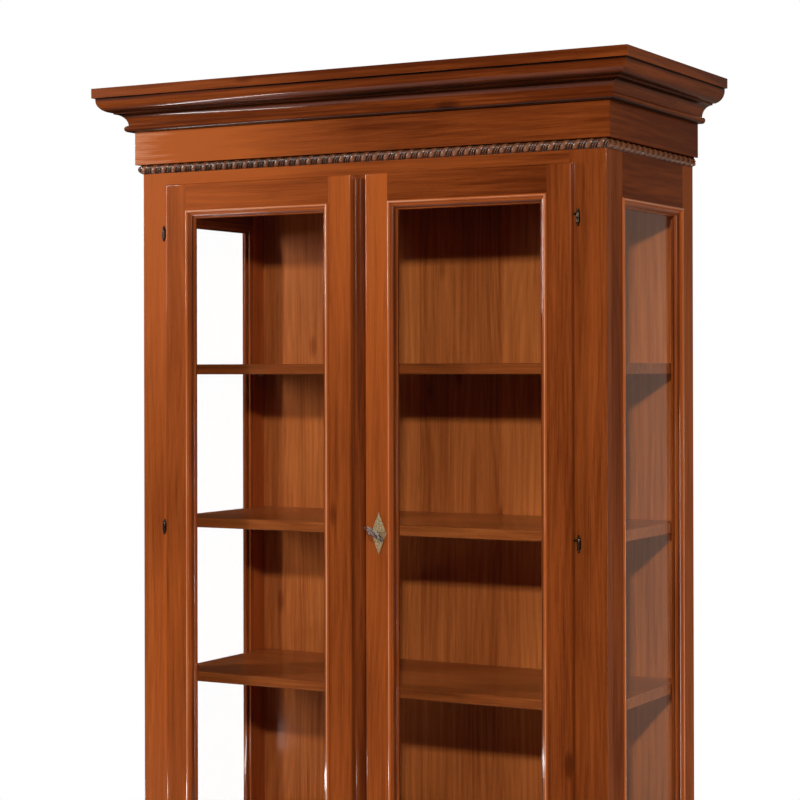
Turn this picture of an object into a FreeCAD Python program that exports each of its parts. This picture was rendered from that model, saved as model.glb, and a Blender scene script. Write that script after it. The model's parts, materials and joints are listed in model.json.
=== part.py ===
import FreeCAD, Part
import math
import os
from types import SimpleNamespace

import Sketcher

# A free-standing bookcase: face frame, glazed sides, two lipped glass doors with an
# astragal between them, three shelves on pins, a rope moulding, frieze and crown on
# top, a moulded plinth below. Millimetres, +Z up, front towards -Y, origin on the
# floor under the centre of the whole outline.

SIZES = {
    # carcass
    "carcass_width": 1060,
    "carcass_depth": 424,
    "face_thickness": 20,
    "side_thickness": 24,
    "side_front_stile": 52,
    "side_rear_stile": 53,
    "side_top_rail_show": 86,
    "side_bottom_rail_show": 62,
    "board_thickness": 21,
    "back_thickness": 12,
    "post_round": 2,
    # heights, from the floor up
    "plinth_height": 120,
    "base_height": 39,
    "face_rail_show": 25,
    "door_height": 1416,
    "rope_height": 19,
    "frieze_height": 68,
    # plinth and base moulding
    "plinth_thickness": 20,
    "plinth_proud": 14,
    "base_proud": 18,
    "base_fascia": 14,
    "base_top_edge": 5,
    "base_top_proud": 7,
    # frieze and crown
    "frieze_thickness": 12,
    "crown_back": 20,
    "crown_bead": 13.5,
    "crown_bead_base": 21.5,
    "cove_height": 23,
    "cove_depth": 22.5,
    "fillet_height": 3,
    "fillet_step": 5,
    "ovolo_height": 28.5,
    "ovolo_depth": 21,
    "fascia_step": 6,
    "fascia_height": 20,
    # doors
    "door_inset": 66,
    "door_thickness": 24,
    "lip_thickness": 12,
    "lip_overlap": 10,
    "lip_gap": 0.5,
    "opening_gap": 1.5,
    "meeting_gap": 33.5,
    "door_stile": 51,
    "door_top_rail": 54,
    "door_bottom_rail": 76,
    "door_round": 4,
    "astragal_width": 26,
    "astragal_short": 8,
    # glazing of doors and sides
    "moulding_width": 18,
    "moulding_depth": 15,
    "moulding_bead": 7,
    "moulding_quirk": 1.5,
    "moulding_lip": 2,
    "moulding_lip_height": 4,
    "glass_thickness": 4,
    "glass_gap": 1.5,
    "bead_width": 12,
    # shelves
    "upper_shelf_rise": 1013,
    "middle_shelf_rise": 693,
    "lower_shelf_rise": 371,
    "shelf_setback": 60,
    "shelf_end_gap": 1,
    "shelf_back_gap": 1,
    "shelf_round": 3,
    "pin_radius": 3,
    "pin_sunk": 10,
    "pin_out": 9,
    "pin_edge": 8,
    # back boards and their screws
    "screw_radius": 2,
    "screw_head_radius": 4,
    "screw_head": 2.5,
    "screw_length": 35,
    "screw_edge": 40,
    # hinges
    "hinge_end": 101,
    "hinge_out": 10,
    "knuckle_radius": 4,
    "knuckle_height": 13,
    "knuckle_gap": 0.3,
    "finial_radius": 3,
    "shank_radius": 2,
    "shank_sunk": 9,
    "hinge_pin_radius": 1.8,
    "hinge_pin_reach": 10,
    "running_gap": 0.05,
    # lock and key
    "lock_rise": 713,
    "lock_off_middle": 5.5,
    "case_width": 43,
    "case_depth": 13,
    "case_up": 20,
    "case_down": 35,
    "case_wall": 1.5,
    "bolt_rise": 10,
    "bolt_height": 8,
    "bolt_thickness": 6,
    "bolt_length": 33,
    "slide_gap": 0.2,
    "strike_thickness": 3,
    "strike_height": 48,
    "strike_edge": 1,
    "escutcheon_width": 34,
    "escutcheon_height": 82,
    "escutcheon_thickness": 1.6,
    "key_radius": 2.5,
    "key_reach": 6,
    "key_hole_gap": 0.7,
    "key_collar_radius": 4,
    "key_collar": 3.5,
    "key_bit": 9,
    "key_bit_thickness": 3,
    "key_bit_length": 6,
    "bow_width": 50,
    "bow_length": 31,
    "bow_thickness": 3.5,
    "bow_hole_radius": 7,
    # bolts inside the left door
    "door_bolt_width": 10,
    "door_bolt_thickness": 4,
    "door_bolt_length": 95,
    "door_bolt_throw": 14,
    "guide_width": 22,
    "guide_depth": 7,
    "guide_height": 45,
    "guide_from_end": 23,
    "knob_radius": 4,
    "knob_length": 9,
    "knob_from_end": 8,
    "slot_gap": 0.5,
    "slot_spare": 2,
}

BACK_BOARDS = 5
BOW_TILT = 35

doc = FreeCAD.newDocument("GlazedBookcase")
sheet = doc.addObject("Spreadsheet::Sheet", "Sizes")
for row, (alias, number) in enumerate(SIZES.items(), 1):
    sheet.set(f"A{row}", alias)
    sheet.set(f"B{row}", str(number))
    sheet.setAlias(f"B{row}", alias)
doc.recompute()


class Length:
    """A length with its present value and the expression that works it out."""

    def __init__(self, value, text):
        self.value = value
        self.text = text

    def __add__(self, other):
        other = as_length(other)
        return Length(self.value + other.value, f"({self.text} + {other.text})")

    def __sub__(self, other):
        other = as_length(other)
        return Length(self.value - other.value, f"({self.text} - {other.text})")

    def __mul__(self, factor):
        return Length(self.value * factor, f"({self.text} * {factor})")

    def __truediv__(self, factor):
        return Length(self.value / factor, f"({self.text} / {factor})")

    def __neg__(self):
        return Length(-self.value, f"(-{self.text})")


def as_length(number):
    return number if isinstance(number, Length) else Length(number, f"({number})")


def diagonal(across, up):
    """Length of the straight line over two sides of a right angle."""
    return Length(math.hypot(across.value, up.value), f"sqrt({across.text}^2 + {up.text}^2)")


S = SimpleNamespace(**{alias: Length(float(sheet.get(alias)), f"Sizes.{alias}") for alias in SIZES})
ZERO = as_length(0)

# Rotations and helpers shared by all pieces

X_AXIS, Y_AXIS, Z_AXIS = FreeCAD.Vector(1, 0, 0), FreeCAD.Vector(0, 1, 0), FreeCAD.Vector(0, 0, 1)
UNTURNED = FreeCAD.Rotation()
# turns the cylinder's own Z axis to the named direction
TOWARDS = {
    "+X": FreeCAD.Rotation(Y_AXIS, 90),
    "-X": FreeCAD.Rotation(Y_AXIS, -90),
    "+Y": FreeCAD.Rotation(X_AXIS, -90),
    "-Y": FreeCAD.Rotation(X_AXIS, 90),
    "+Z": UNTURNED,
}
# puts a sketch's X and Y axes on the Y and Z axes, so that it extrudes along X
SECTION_TURN = FreeCAD.Rotation(0.5, 0.5, 0.5, 0.5)
# cutting shapes stand this far past what they trim
MARGIN = 5
# two places nearer than this are the same place
SAME_PLACE = 1e-4

pieces = []


def bind(item, **lengths):
    for name, length in lengths.items():
        item.setExpression(name, as_length(length).text)
    return item


def place(item, x, y, z, rotation=UNTURNED):
    item.Placement = FreeCAD.Placement(FreeCAD.Vector(), rotation)
    for axis, length in zip("xyz", (x, y, z)):
        item.setExpression(f"Placement.Base.{axis}", as_length(length).text)
    return item


def board(name, x, y, z):
    """A box between the low and high ends given for each axis."""
    box = doc.addObject("Part::Box", name)
    bind(box, Length=x[1] - x[0], Width=y[1] - y[0], Height=z[1] - z[0])
    return place(box, x[0], y[0], z[0])


def rod(name, radius, length, start, direction):
    cylinder = doc.addObject("Part::Cylinder", name)
    bind(cylinder, Radius=radius, Height=length)
    return place(cylinder, *start, TOWARDS[direction])


def ball(name, radius, centre):
    sphere = doc.addObject("Part::Sphere", name)
    bind(sphere, Radius=radius)
    return place(sphere, *centre)


def fuse(name, *parts):
    joined = doc.addObject("Part::MultiFuse", name)
    joined.Shapes = list(parts)
    joined.Refine = True
    return joined


def group(name, parts):
    """Separate solids in one node."""
    together = doc.addObject("Part::Compound", name)
    together.Links = list(parts)
    return together


def cut(name, base, *tools):
    result = doc.addObject("Part::Cut", name)
    result.Base = base
    result.Tool = tools[0] if len(tools) == 1 else group(f"{name}_tools", tools)
    return result


def rounded(name, base, radius, wanted):
    """Base with the edges that wanted picks, by their box, rounded."""
    doc.recompute()
    fillet = doc.addObject("Part::Fillet", name)
    fillet.Base = base
    fillet.Edges = [
        (index, radius.value, radius.value)
        for index, edge in enumerate(base.Shape.Edges, 1)
        if wanted(edge.BoundBox)
    ]
    return fillet


def at(low, high, place_of):
    """True where an edge's box lies at one place on an axis."""
    return abs(low - place_of.value) < SAME_PLACE and abs(high - place_of.value) < SAME_PLACE


def keep(label, item):
    """Marks an object as a finished piece under its label."""
    item.Label = label
    pieces.append(item)
    return item


def about(middle, width):
    """Low and high ends of a stretch given by its middle and width."""
    return (middle - width / 2, middle + width / 2)


def span(side, near, far):
    """Low and high X of a stretch given by its distances from the centre line."""
    return (near, far) if side > 0 else (-far, -near)


def fix(sketch, constraint, length):
    rule = sketch.addConstraint(constraint)
    sketch.setExpression(f"Constraints[{rule}]", length.text)


def section(name, corners, arcs):
    """A closed sketch through the corners, in order.

    arcs gives, for the corner where an arc starts, its radius and whether the outline
    turns left (+1) or right (-1) along it. A half circle has None for its radius, and
    its centre is kept on the straight line between its ends.
    """
    sketch = doc.addObject("Sketcher::SketchObject", name)
    sketch.Placement = FreeCAD.Placement(FreeCAD.Vector(), SECTION_TURN)
    ends = []
    for index, (start, end) in enumerate(zip(corners, corners[1:] + corners[:1])):
        first = FreeCAD.Vector(start[0].value, start[1].value, 0)
        last = FreeCAD.Vector(end[0].value, end[1].value, 0)
        if index not in arcs:
            geometry = sketch.addGeometry(Part.LineSegment(first, last))
            ends.append((geometry, 1, 2))
            continue
        radius, turn = arcs[index]
        chord = last - first
        reach = chord.Length / 2 if radius is None else radius.value
        rise = math.sqrt(max(reach ** 2 - (chord.Length / 2) ** 2, 0))
        left = FreeCAD.Vector(-chord.y, chord.x, 0).normalize()
        centre = (first + last) * 0.5 + left * (rise * turn)
        begin, finish = (first, last) if turn > 0 else (last, first)
        angles = [math.atan2(point.y - centre.y, point.x - centre.x) for point in (begin, finish)]
        circle = Part.Circle(centre, Z_AXIS, reach)
        geometry = sketch.addGeometry(Part.ArcOfCircle(circle, *angles))
        ends.append((geometry, 1, 2) if turn > 0 else (geometry, 2, 1))
        if radius is None:
            kind, level = ("DistanceX", start[0]) if start[0] is end[0] else ("DistanceY", start[1])
            fix(sketch, Sketcher.Constraint(kind, -1, 1, geometry, 3, level.value), level)
        else:
            fix(sketch, Sketcher.Constraint("Radius", geometry, radius.value), radius)
    for (geometry, start, _), (before, _, end) in zip(ends, ends[-1:] + ends[:-1]):
        sketch.addConstraint(Sketcher.Constraint("Coincident", before, end, geometry, start))
    for (geometry, start, _), corner in zip(ends, corners):
        for kind, length in zip(("DistanceX", "DistanceY"), corner):
            fix(sketch, Sketcher.Constraint(kind, -1, 1, geometry, start, length.value), length)
    return sketch


def stick(name, outline, length, y, z, start_flare, end_flare):
    """A straight length of moulding along its own X axis, with its ends cut.

    The flare is 1 where the outer side is longer by its depth (an outside mitre), -1
    where it is shorter (an inside mitre) and 0 where the end is square. With no
    outline the moulding is a plain rectangle.
    """
    spare = 0 if outline is None else MARGIN
    y = (y[0] - spare, y[1] + spare)
    z = (z[0] - spare, z[1] + spare)
    blank = doc.addObject("Part::Wedge", f"{name}_blank")
    bind(blank, Ymin=y[0], Ymax=y[1], Zmin=z[0], Zmax=z[1], Z2min=z[0], Z2max=z[1])
    bind(blank, Xmin=-(y[0] * start_flare), X2min=-(y[1] * start_flare))
    bind(blank, Xmax=length + y[0] * end_flare, X2max=length + y[1] * end_flare)
    if outline is None:
        return blank
    bar = doc.addObject("Part::Extrusion", f"{name}_bar")
    bar.Base = outline
    bar.DirMode = "Normal"
    bar.Solid = True
    bind(bar, LengthFwd=length + y[1] + MARGIN, LengthRev=y[1] + MARGIN)
    mitred = doc.addObject("Part::Common", name)
    mitred.Base = bar
    mitred.Tool = blank
    return mitred


def round_three_sides(name, outline, y, z, height):
    """Front, left and right runs of a moulding on the carcass, mitred at the front corners."""
    front = stick(f"{name}_front", outline, S.carcass_width, y, z, 1, 1)
    left = stick(f"{name}_left", outline, S.carcass_depth, y, z, 1, 0)
    right = stick(f"{name}_right", outline, S.carcass_depth, y, z, 0, 1)
    place(front, half_width, front_y, height, FreeCAD.Rotation(Z_AXIS, 180))
    place(left, -half_width, front_y, height, FreeCAD.Rotation(Z_AXIS, 90))
    place(right, half_width, back_y, height, FreeCAD.Rotation(Z_AXIS, -90))
    return group(name, (front, left, right))


# for each way a glazed opening faces: its turn, and the X and Y steps of its width
FACING = {
    "front": (UNTURNED, 1, 0),
    "left": (FreeCAD.Rotation(Z_AXIS, -90), 0, -1),
    "right": (FreeCAD.Rotation(Z_AXIS, 90), 0, 1),
}


def round_opening(name, outline, y, z, corner, width, height, facing):
    """Four mitred lengths of moulding round the inside of an opening."""
    turn, step_x, step_y = FACING[facing]
    starts = ((ZERO, ZERO), (width, ZERO), (width, height), (ZERO, height))
    sides = []
    for index, (across, up) in enumerate(starts):
        length = height if index % 2 else width
        side = stick(f"{name}_{index}", outline, length, y, z, -1, -1)
        rotation = turn.multiply(FreeCAD.Rotation(Y_AXIS, -90 * index)).multiply(TOWARDS["-Y"])
        place(side, corner[0] + across * step_x, corner[1] + across * step_y, corner[2] + up, rotation)
        sides.append(side)
    return group(name, sides)


# Places worked out from the sizes

crown_proud = S.crown_bead_base + S.cove_depth + S.fillet_step + S.ovolo_depth + S.fascia_step
crown_height = S.crown_bead + S.cove_height + S.fillet_height + S.ovolo_height + S.fascia_height
half_width = S.carcass_width / 2
front_y = (crown_proud - S.carcass_depth) / 2
back_y = (crown_proud + S.carcass_depth) / 2
face_back_y = front_y + S.face_thickness
back_front_y = back_y - S.back_thickness
side_inside = half_width - S.side_thickness

carcass_bottom = S.plinth_height
door_bottom = S.plinth_height + S.base_height + S.face_rail_show
door_top = door_bottom + S.door_height
rope_bottom = door_top + S.face_rail_show
frieze_bottom = rope_bottom + S.rope_height
carcass_top = frieze_bottom + S.frieze_height
opening_bottom = door_bottom + S.lip_overlap
opening_top = door_top - S.lip_overlap
post_inside = half_width - S.door_inset - S.lip_overlap

door_back_y = front_y - S.lip_gap - S.lip_thickness + S.door_thickness
door_front_y = front_y - S.lip_gap - S.lip_thickness
lip_back_y = front_y - S.lip_gap
door_outside = half_width - S.door_inset
door_inside = S.meeting_gap / 2
door_rear_cut = S.lip_overlap + S.opening_gap
hinge_stile_inside = door_outside - S.door_stile
meeting_stile_outside = door_inside + S.door_stile
meeting_stile_middle = door_inside + S.door_stile / 2
hinge_x = door_outside + S.hinge_out
hinge_y = front_y - S.lip_gap - S.knuckle_radius
hinge_heights = (door_bottom + S.hinge_end, door_bottom + S.door_height / 2, door_top - S.hinge_end)
lock_x = meeting_stile_middle + S.lock_off_middle
lock_z = door_bottom + S.lock_rise

SHELVES = {
    "lower_shelf": opening_bottom + S.lower_shelf_rise,
    "middle_shelf": opening_bottom + S.middle_shelf_rise,
    "upper_shelf": opening_bottom + S.upper_shelf_rise,
}
shelf_front_y = front_y + S.shelf_setback
pin_rows = (shelf_front_y + S.pin_edge, back_front_y - S.shelf_back_gap - S.pin_edge - S.pin_radius * 2)
SIDES = {"left": -1, "right": 1}


# Carcass: face frame

def shank_hole(name, side, height):
    """Hole in the post for the shank of a hinge's lower half."""
    start = (hinge_x * side, front_y, height - S.knuckle_height / 2)
    return rod(name, S.shank_radius, S.shank_sunk, start, "+Y")


for side_name, side in SIDES.items():
    post = board(f"{side_name}_post_blank", span(side, post_inside, half_width),
                 (front_y, face_back_y), (carcass_bottom, carcass_top))
    corner_x = half_width * side
    post = rounded(f"{side_name}_post_round", post, S.post_round,
                   lambda box: at(box.YMin, box.YMax, front_y) and at(box.XMin, box.XMax, corner_x))
    holes = [shank_hole(f"{side_name}_post_hole_{i}", side, z) for i, z in enumerate(hinge_heights)]
    keep(f"{side_name}_post", cut(f"{side_name}_post", post, *holes))


def bolt_slot(name, z):
    """Slot in a face rail for the end of a left door bolt."""
    x = about(-meeting_stile_middle, S.door_bolt_width + S.slot_gap * 2)
    y = (door_back_y - S.slot_gap, door_back_y + S.slide_gap + S.door_bolt_thickness + S.slot_gap)
    return board(name, x, y, z)


slot_depth = S.door_bolt_throw + S.slot_spare
face_rail_y = (front_y, face_back_y)
face_rail_x = span(1, -post_inside, post_inside)
top_face = board("face_top_blank", face_rail_x, face_rail_y, (opening_top, carcass_top))
bottom_face = board("face_bottom_blank", face_rail_x, face_rail_y, (carcass_bottom, opening_bottom))
top_slot = bolt_slot("top_slot", (opening_top, opening_top + slot_depth))
bottom_slot = bolt_slot("bottom_slot", (opening_bottom - slot_depth, opening_bottom))
keep("face_top_rail", cut("face_top_rail", top_face, top_slot))
keep("face_bottom_rail", cut("face_bottom_rail", bottom_face, bottom_slot))

# Carcass: glazed sides

moulding_ovolo_width = S.moulding_width - S.moulding_bead - S.moulding_lip
moulding_ovolo_height = S.moulding_depth - S.moulding_quirk - S.moulding_lip_height
glazing_outline = section(
    "glazing_outline",
    [
        (ZERO, -S.moulding_depth),
        (S.moulding_width, -S.moulding_depth),
        (S.moulding_width, S.moulding_lip_height - S.moulding_depth),
        (S.moulding_width - S.moulding_lip, S.moulding_lip_height - S.moulding_depth),
        (S.moulding_bead, -S.moulding_quirk),
        (S.moulding_bead, ZERO),
        (ZERO, ZERO),
    ],
    {
        3: (diagonal(moulding_ovolo_width, moulding_ovolo_height) / math.sqrt(2), 1),
        5: (None, 1),
    },
)
moulding_y = (ZERO, S.moulding_width)
moulding_z = (-S.moulding_depth, S.moulding_bead / 2)
glass_depth = S.moulding_depth + S.glass_thickness

side_opening_y = (face_back_y + S.side_front_stile, back_y - S.side_rear_stile)
side_opening_z = (
    carcass_bottom + S.base_height + S.side_bottom_rail_show,
    rope_bottom - S.side_top_rail_show,
)
side_opening_width = side_opening_y[1] - side_opening_y[0]
side_opening_height = side_opening_z[1] - side_opening_z[0]
side_rail_z = {
    "top": (side_opening_z[1], carcass_top),
    "bottom": (carcass_bottom, side_opening_z[0]),
}
bead_y = (ZERO, S.bead_width)

for side_name, side in SIDES.items():
    thickness_x = span(side, side_inside, half_width)
    hole_x = (side_inside + S.pin_sunk) * side if side < 0 else side_inside
    stile_y = {
        "front": (face_back_y, side_opening_y[0]),
        "rear": (side_opening_y[1], back_y),
    }
    for (stile_name, y), pin_y in zip(stile_y.items(), pin_rows):
        label = f"{side_name}_side_{stile_name}_stile"
        stile = board(f"{label}_blank", thickness_x, y, (carcass_bottom, carcass_top))
        holes = [
            rod(f"{label}_hole_{shelf}", S.pin_radius, S.pin_sunk, (hole_x, pin_y, z - S.pin_radius), "+X")
            for shelf, z in SHELVES.items()
        ]
        keep(label, cut(label, stile, *holes))
    for rail_name, z in side_rail_z.items():
        label = f"{side_name}_side_{rail_name}_rail"
        keep(label, board(label, thickness_x, side_opening_y, z))

    first_y = side_opening_y[1] if side < 0 else side_opening_y[0]
    face = (half_width * side, first_y, side_opening_z[0])
    label = f"{side_name}_side_moulding"
    keep(label, round_opening(label, glazing_outline, moulding_y, moulding_z, face,
                              side_opening_width, side_opening_height, side_name))
    label = f"{side_name}_side_glass"
    keep(label, board(label, span(side, half_width - glass_depth, half_width - S.moulding_depth),
                      (side_opening_y[0] + S.glass_gap, side_opening_y[1] - S.glass_gap),
                      (side_opening_z[0] + S.glass_gap, side_opening_z[1] - S.glass_gap)))
    label = f"{side_name}_side_beads"
    keep(label, round_opening(label, None, bead_y, (-S.side_thickness, -glass_depth), face,
                              side_opening_width, side_opening_height, side_name))

# Carcass: boards, back and shelves

inside_x = (-side_inside, side_inside)
board_y = (face_back_y, back_front_y)
board_z = {
    "top": (opening_top, opening_top + S.board_thickness),
    "bottom": (opening_bottom - S.board_thickness, opening_bottom),
}
back_board_width = side_inside * 2 / BACK_BOARDS
back_boards = []
screws = {"top": [], "bottom": []}
for index in range(BACK_BOARDS):
    low_x = back_board_width * index - side_inside
    high_x = low_x + back_board_width
    plank = board(f"back_board_{index}", (low_x, high_x), (back_front_y, back_y),
                  (carcass_bottom, carcass_top))
    plank_screws = []
    for end_name, z in board_z.items():
        for edge_name, x in (("low", low_x + S.screw_edge), ("high", high_x - S.screw_edge)):
            name = f"screw_{index}_{end_name}_{edge_name}"
            start = (x, back_y, z[0] + S.board_thickness / 2)
            head = rod(f"{name}_head", S.screw_head_radius, S.screw_head, start, "-Y")
            shaft = rod(f"{name}_shaft", S.screw_radius, S.screw_length, start, "-Y")
            screw = fuse(name, head, shaft)
            plank_screws.append(screw)
            screws[end_name].append(screw)
    back_boards.append(cut(f"back_board_{index}_bored", plank, *plank_screws))
keep("back_boards", group("back_boards", back_boards))
keep("back_screws", group("back_screws", screws["top"] + screws["bottom"]))
for end_name, z in board_z.items():
    label = f"{end_name}_board"
    keep(label, cut(label, board(f"{label}_blank", inside_x, board_y, z), *screws[end_name]))

shelf_x = (S.shelf_end_gap - side_inside, side_inside - S.shelf_end_gap)
shelf_y = (shelf_front_y, back_front_y - S.shelf_back_gap)
shelf_pins = []
for shelf, z in SHELVES.items():
    plank = board(f"{shelf}_blank", shelf_x, shelf_y, (z, z + S.board_thickness))
    keep(shelf, rounded(shelf, plank, S.shelf_round,
                        lambda box: at(box.YMin, box.YMax, shelf_front_y) and box.XLength > box.ZLength))
    for side_name, side in SIDES.items():
        start_x = -side_inside - S.pin_sunk if side < 0 else side_inside - S.pin_out
        for row_name, y in zip(("front", "rear"), pin_rows):
            shelf_pins.append(rod(f"pin_{shelf}_{side_name}_{row_name}", S.pin_radius,
                                  S.pin_sunk + S.pin_out, (start_x, y, z - S.pin_radius), "+X"))
keep("shelf_pins", group("shelf_pins", shelf_pins))

# Crown, frieze, rope, base moulding and plinth

cove_foot = S.crown_bead_base
ovolo_foot = cove_foot + S.cove_depth + S.fillet_step
cove_top = S.crown_bead + S.cove_height
ovolo_bottom = cove_top + S.fillet_height
fascia_bottom = ovolo_bottom + S.ovolo_height
crown_outline = section(
    "crown_outline",
    [
        (-S.crown_back, ZERO),
        (cove_foot, ZERO),
        (cove_foot, S.crown_bead),
        (cove_foot + S.cove_depth, cove_top),
        (cove_foot + S.cove_depth, ovolo_bottom),
        (ovolo_foot, ovolo_bottom),
        (ovolo_foot + S.ovolo_depth, fascia_bottom),
        (crown_proud, fascia_bottom),
        (crown_proud, crown_height),
        (-S.crown_back, crown_height),
    ],
    {
        1: (None, 1),
        2: (diagonal(S.cove_depth, S.cove_height) / math.sqrt(2), -1),
        5: (diagonal(S.ovolo_depth, S.ovolo_height) / math.sqrt(2), 1),
    },
)
keep("crown_moulding", round_three_sides("crown_moulding", crown_outline, (-S.crown_back, crown_proud),
                                         (ZERO, crown_height), carcass_top))
crown_inside = half_width - S.crown_back
keep("cornice_board", board("cornice_board", (-crown_inside, crown_inside), (front_y + S.crown_back, back_y),
                            (carcass_top, carcass_top + S.board_thickness)))
keep("frieze", round_three_sides("frieze", None, (ZERO, S.frieze_thickness), (ZERO, S.frieze_height),
                                 frieze_bottom))
rope_outline = section("rope_outline", [(ZERO, ZERO), (ZERO, S.rope_height)], {0: (None, 1)})
keep("rope_moulding", round_three_sides("rope_moulding", rope_outline, (ZERO, S.rope_height / 2),
                                        (ZERO, S.rope_height), rope_bottom))

base_cove_top = S.base_height - S.base_top_edge
base_cove_depth = S.base_proud - S.base_top_proud
base_cove_height = base_cove_top - S.base_fascia
base_outline = section(
    "base_outline",
    [
        (ZERO, ZERO),
        (S.base_proud, ZERO),
        (S.base_proud, S.base_fascia),
        (S.base_top_proud, base_cove_top),
        (S.base_top_proud, S.base_height),
        (ZERO, S.base_height),
    ],
    {2: (diagonal(base_cove_depth, base_cove_height) / math.sqrt(2), -1)},
)
keep("base_moulding", round_three_sides("base_moulding", base_outline, (ZERO, S.base_proud),
                                        (ZERO, S.base_height), carcass_bottom))
plinth_inside = half_width + S.plinth_proud - S.plinth_thickness
plinth_runs = round_three_sides("plinth_runs", None, (S.plinth_proud - S.plinth_thickness, S.plinth_proud),
                                (ZERO, S.plinth_height), ZERO)
plinth_back = board("plinth_back", (-plinth_inside, plinth_inside), (back_y - S.plinth_thickness, back_y),
                    (ZERO, S.plinth_height))
keep("plinth", group("plinth", plinth_runs.Links + [plinth_back]))

# Hinges: a lower half screwed into the post, a pin, and an upper half in the door's edge

post_halves = []
hinge_pins = []
door_halves = {"left": [], "right": []}
for side_name, side in SIDES.items():
    x = hinge_x * side
    inwards = "+X" if side < 0 else "-X"
    for index, z in enumerate(hinge_heights):
        name = f"{side_name}_hinge_{index}"
        shank = S.shank_sunk + front_y - hinge_y
        lower_z = z - S.knuckle_height
        lower = fuse(f"{name}_lower_body",
                     rod(f"{name}_lower_knuckle", S.knuckle_radius, S.knuckle_height,
                         (x, hinge_y, lower_z), "+Z"),
                     ball(f"{name}_lower_finial", S.finial_radius, (x, hinge_y, lower_z)),
                     rod(f"{name}_lower_shank", S.shank_radius, shank,
                         (x, hinge_y, z - S.knuckle_height / 2), "+Y"))
        pin_low = z - S.hinge_pin_reach
        pin_length = S.hinge_pin_reach * 2
        pin = rod(f"{name}_pin", S.hinge_pin_radius, pin_length, (x, hinge_y, pin_low), "+Z")
        hinge_pins.append(pin)
        post_halves.append(cut(f"{name}_lower", lower, pin))

        upper_z = z + S.knuckle_gap
        upper = fuse(f"{name}_upper_body",
                     rod(f"{name}_upper_knuckle", S.knuckle_radius, S.knuckle_height,
                         (x, hinge_y, upper_z), "+Z"),
                     ball(f"{name}_upper_finial", S.finial_radius, (x, hinge_y, upper_z + S.knuckle_height)),
                     rod(f"{name}_upper_shank", S.shank_radius, S.shank_sunk + S.hinge_out,
                         (x, hinge_y, upper_z + S.knuckle_height / 2), inwards))
        bore = rod(f"{name}_bore", S.hinge_pin_radius + S.running_gap, pin_length + S.running_gap * 2,
                   (x, hinge_y, pin_low - S.running_gap), "+Z")
        door_halves[side_name].append(cut(f"{name}_upper", upper, bore))
keep("hinge_post_halves", group("hinge_post_halves", post_halves))
keep("hinge_pins", group("hinge_pins", hinge_pins))
for side_name, halves in door_halves.items():
    keep(f"{side_name}_hinge_door_halves", group(f"{side_name}_hinge_door_halves", halves))


# Doors

def door_member(name, lip_x, lip_z, rear_x, rear_z, round_at):
    """A stile or rail: the lip in front, the part inside the opening behind it.

    round_at lists the outer edges to round, each as an axis letter and a place.
    """
    lip = board(f"{name}_lip", lip_x, (door_front_y, lip_back_y), lip_z)
    rear = board(f"{name}_rear", rear_x, (lip_back_y, door_back_y), rear_z)
    whole = fuse(f"{name}_whole", lip, rear)

    def outer(box):
        if not at(box.YMin, box.YMax, door_front_y):
            return False
        return any(
            at(getattr(box, axis + "Min"), getattr(box, axis + "Max"), edge)
            for axis, edge in round_at
        )

    return rounded(name, whole, S.door_round, outer)


rear_z = (door_bottom + door_rear_cut, door_top - door_rear_cut)
door_opening_z = (door_bottom + S.door_bottom_rail, door_top - S.door_top_rail)
door_opening_width = hinge_stile_inside - meeting_stile_outside
door_opening_height = door_opening_z[1] - door_opening_z[0]

for side_name, side in SIDES.items():
    ends = [("Z", door_bottom), ("Z", door_top)]
    name = f"{side_name}_door_hinge_stile"
    stile = door_member(f"{name}_wood", span(side, hinge_stile_inside, door_outside), (door_bottom, door_top),
                        span(side, hinge_stile_inside, door_outside - door_rear_cut), rear_z,
                        ends + [("X", door_outside * side)])
    hole_x = -door_outside if side < 0 else door_outside - S.shank_sunk
    holes = [
        rod(f"{name}_hole_{index}", S.shank_radius, S.shank_sunk,
            (hole_x, hinge_y, z + S.knuckle_gap + S.knuckle_height / 2), "+X")
        for index, z in enumerate(hinge_heights)
    ]
    keep(name, cut(name, stile, *holes))

    name = f"{side_name}_door_meeting_stile"
    meeting_x = span(side, door_inside, meeting_stile_outside)
    stile = door_member(f"{name}_wood", meeting_x, (door_bottom, door_top), meeting_x, rear_z,
                        ends + [("X", door_inside * side)])
    if side > 0:
        key_hole = rod("stile_key_hole", S.key_radius + S.key_hole_gap, S.door_thickness,
                       (lock_x, door_front_y, lock_z), "+Y")
        stile = cut(name, stile, key_hole)
    keep(name, stile)

    rail_x = span(side, meeting_stile_outside, hinge_stile_inside)
    name = f"{side_name}_door_top_rail"
    keep(name, door_member(name, rail_x, (door_opening_z[1], door_top), rail_x,
                           (door_opening_z[1], rear_z[1]), [("Z", door_top)]))
    name = f"{side_name}_door_bottom_rail"
    keep(name, door_member(name, rail_x, (door_bottom, door_opening_z[0]), rail_x,
                           (rear_z[0], door_opening_z[0]), [("Z", door_bottom)]))

    face = (rail_x[0], door_front_y, door_opening_z[0])
    label = f"{side_name}_door_moulding"
    keep(label, round_opening(label, glazing_outline, moulding_y, moulding_z, face,
                              door_opening_width, door_opening_height, "front"))
    label = f"{side_name}_door_glass"
    keep(label, board(label, (rail_x[0] + S.glass_gap, rail_x[1] - S.glass_gap),
                      (door_front_y + S.moulding_depth, door_front_y + glass_depth),
                      (door_opening_z[0] + S.glass_gap, door_opening_z[1] - S.glass_gap)))
    label = f"{side_name}_door_beads"
    keep(label, round_opening(label, None, bead_y, (-S.door_thickness, -glass_depth), face,
                              door_opening_width, door_opening_height, "front"))

# Astragal: a half round on a batten that is fixed to the left door's edge

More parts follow.
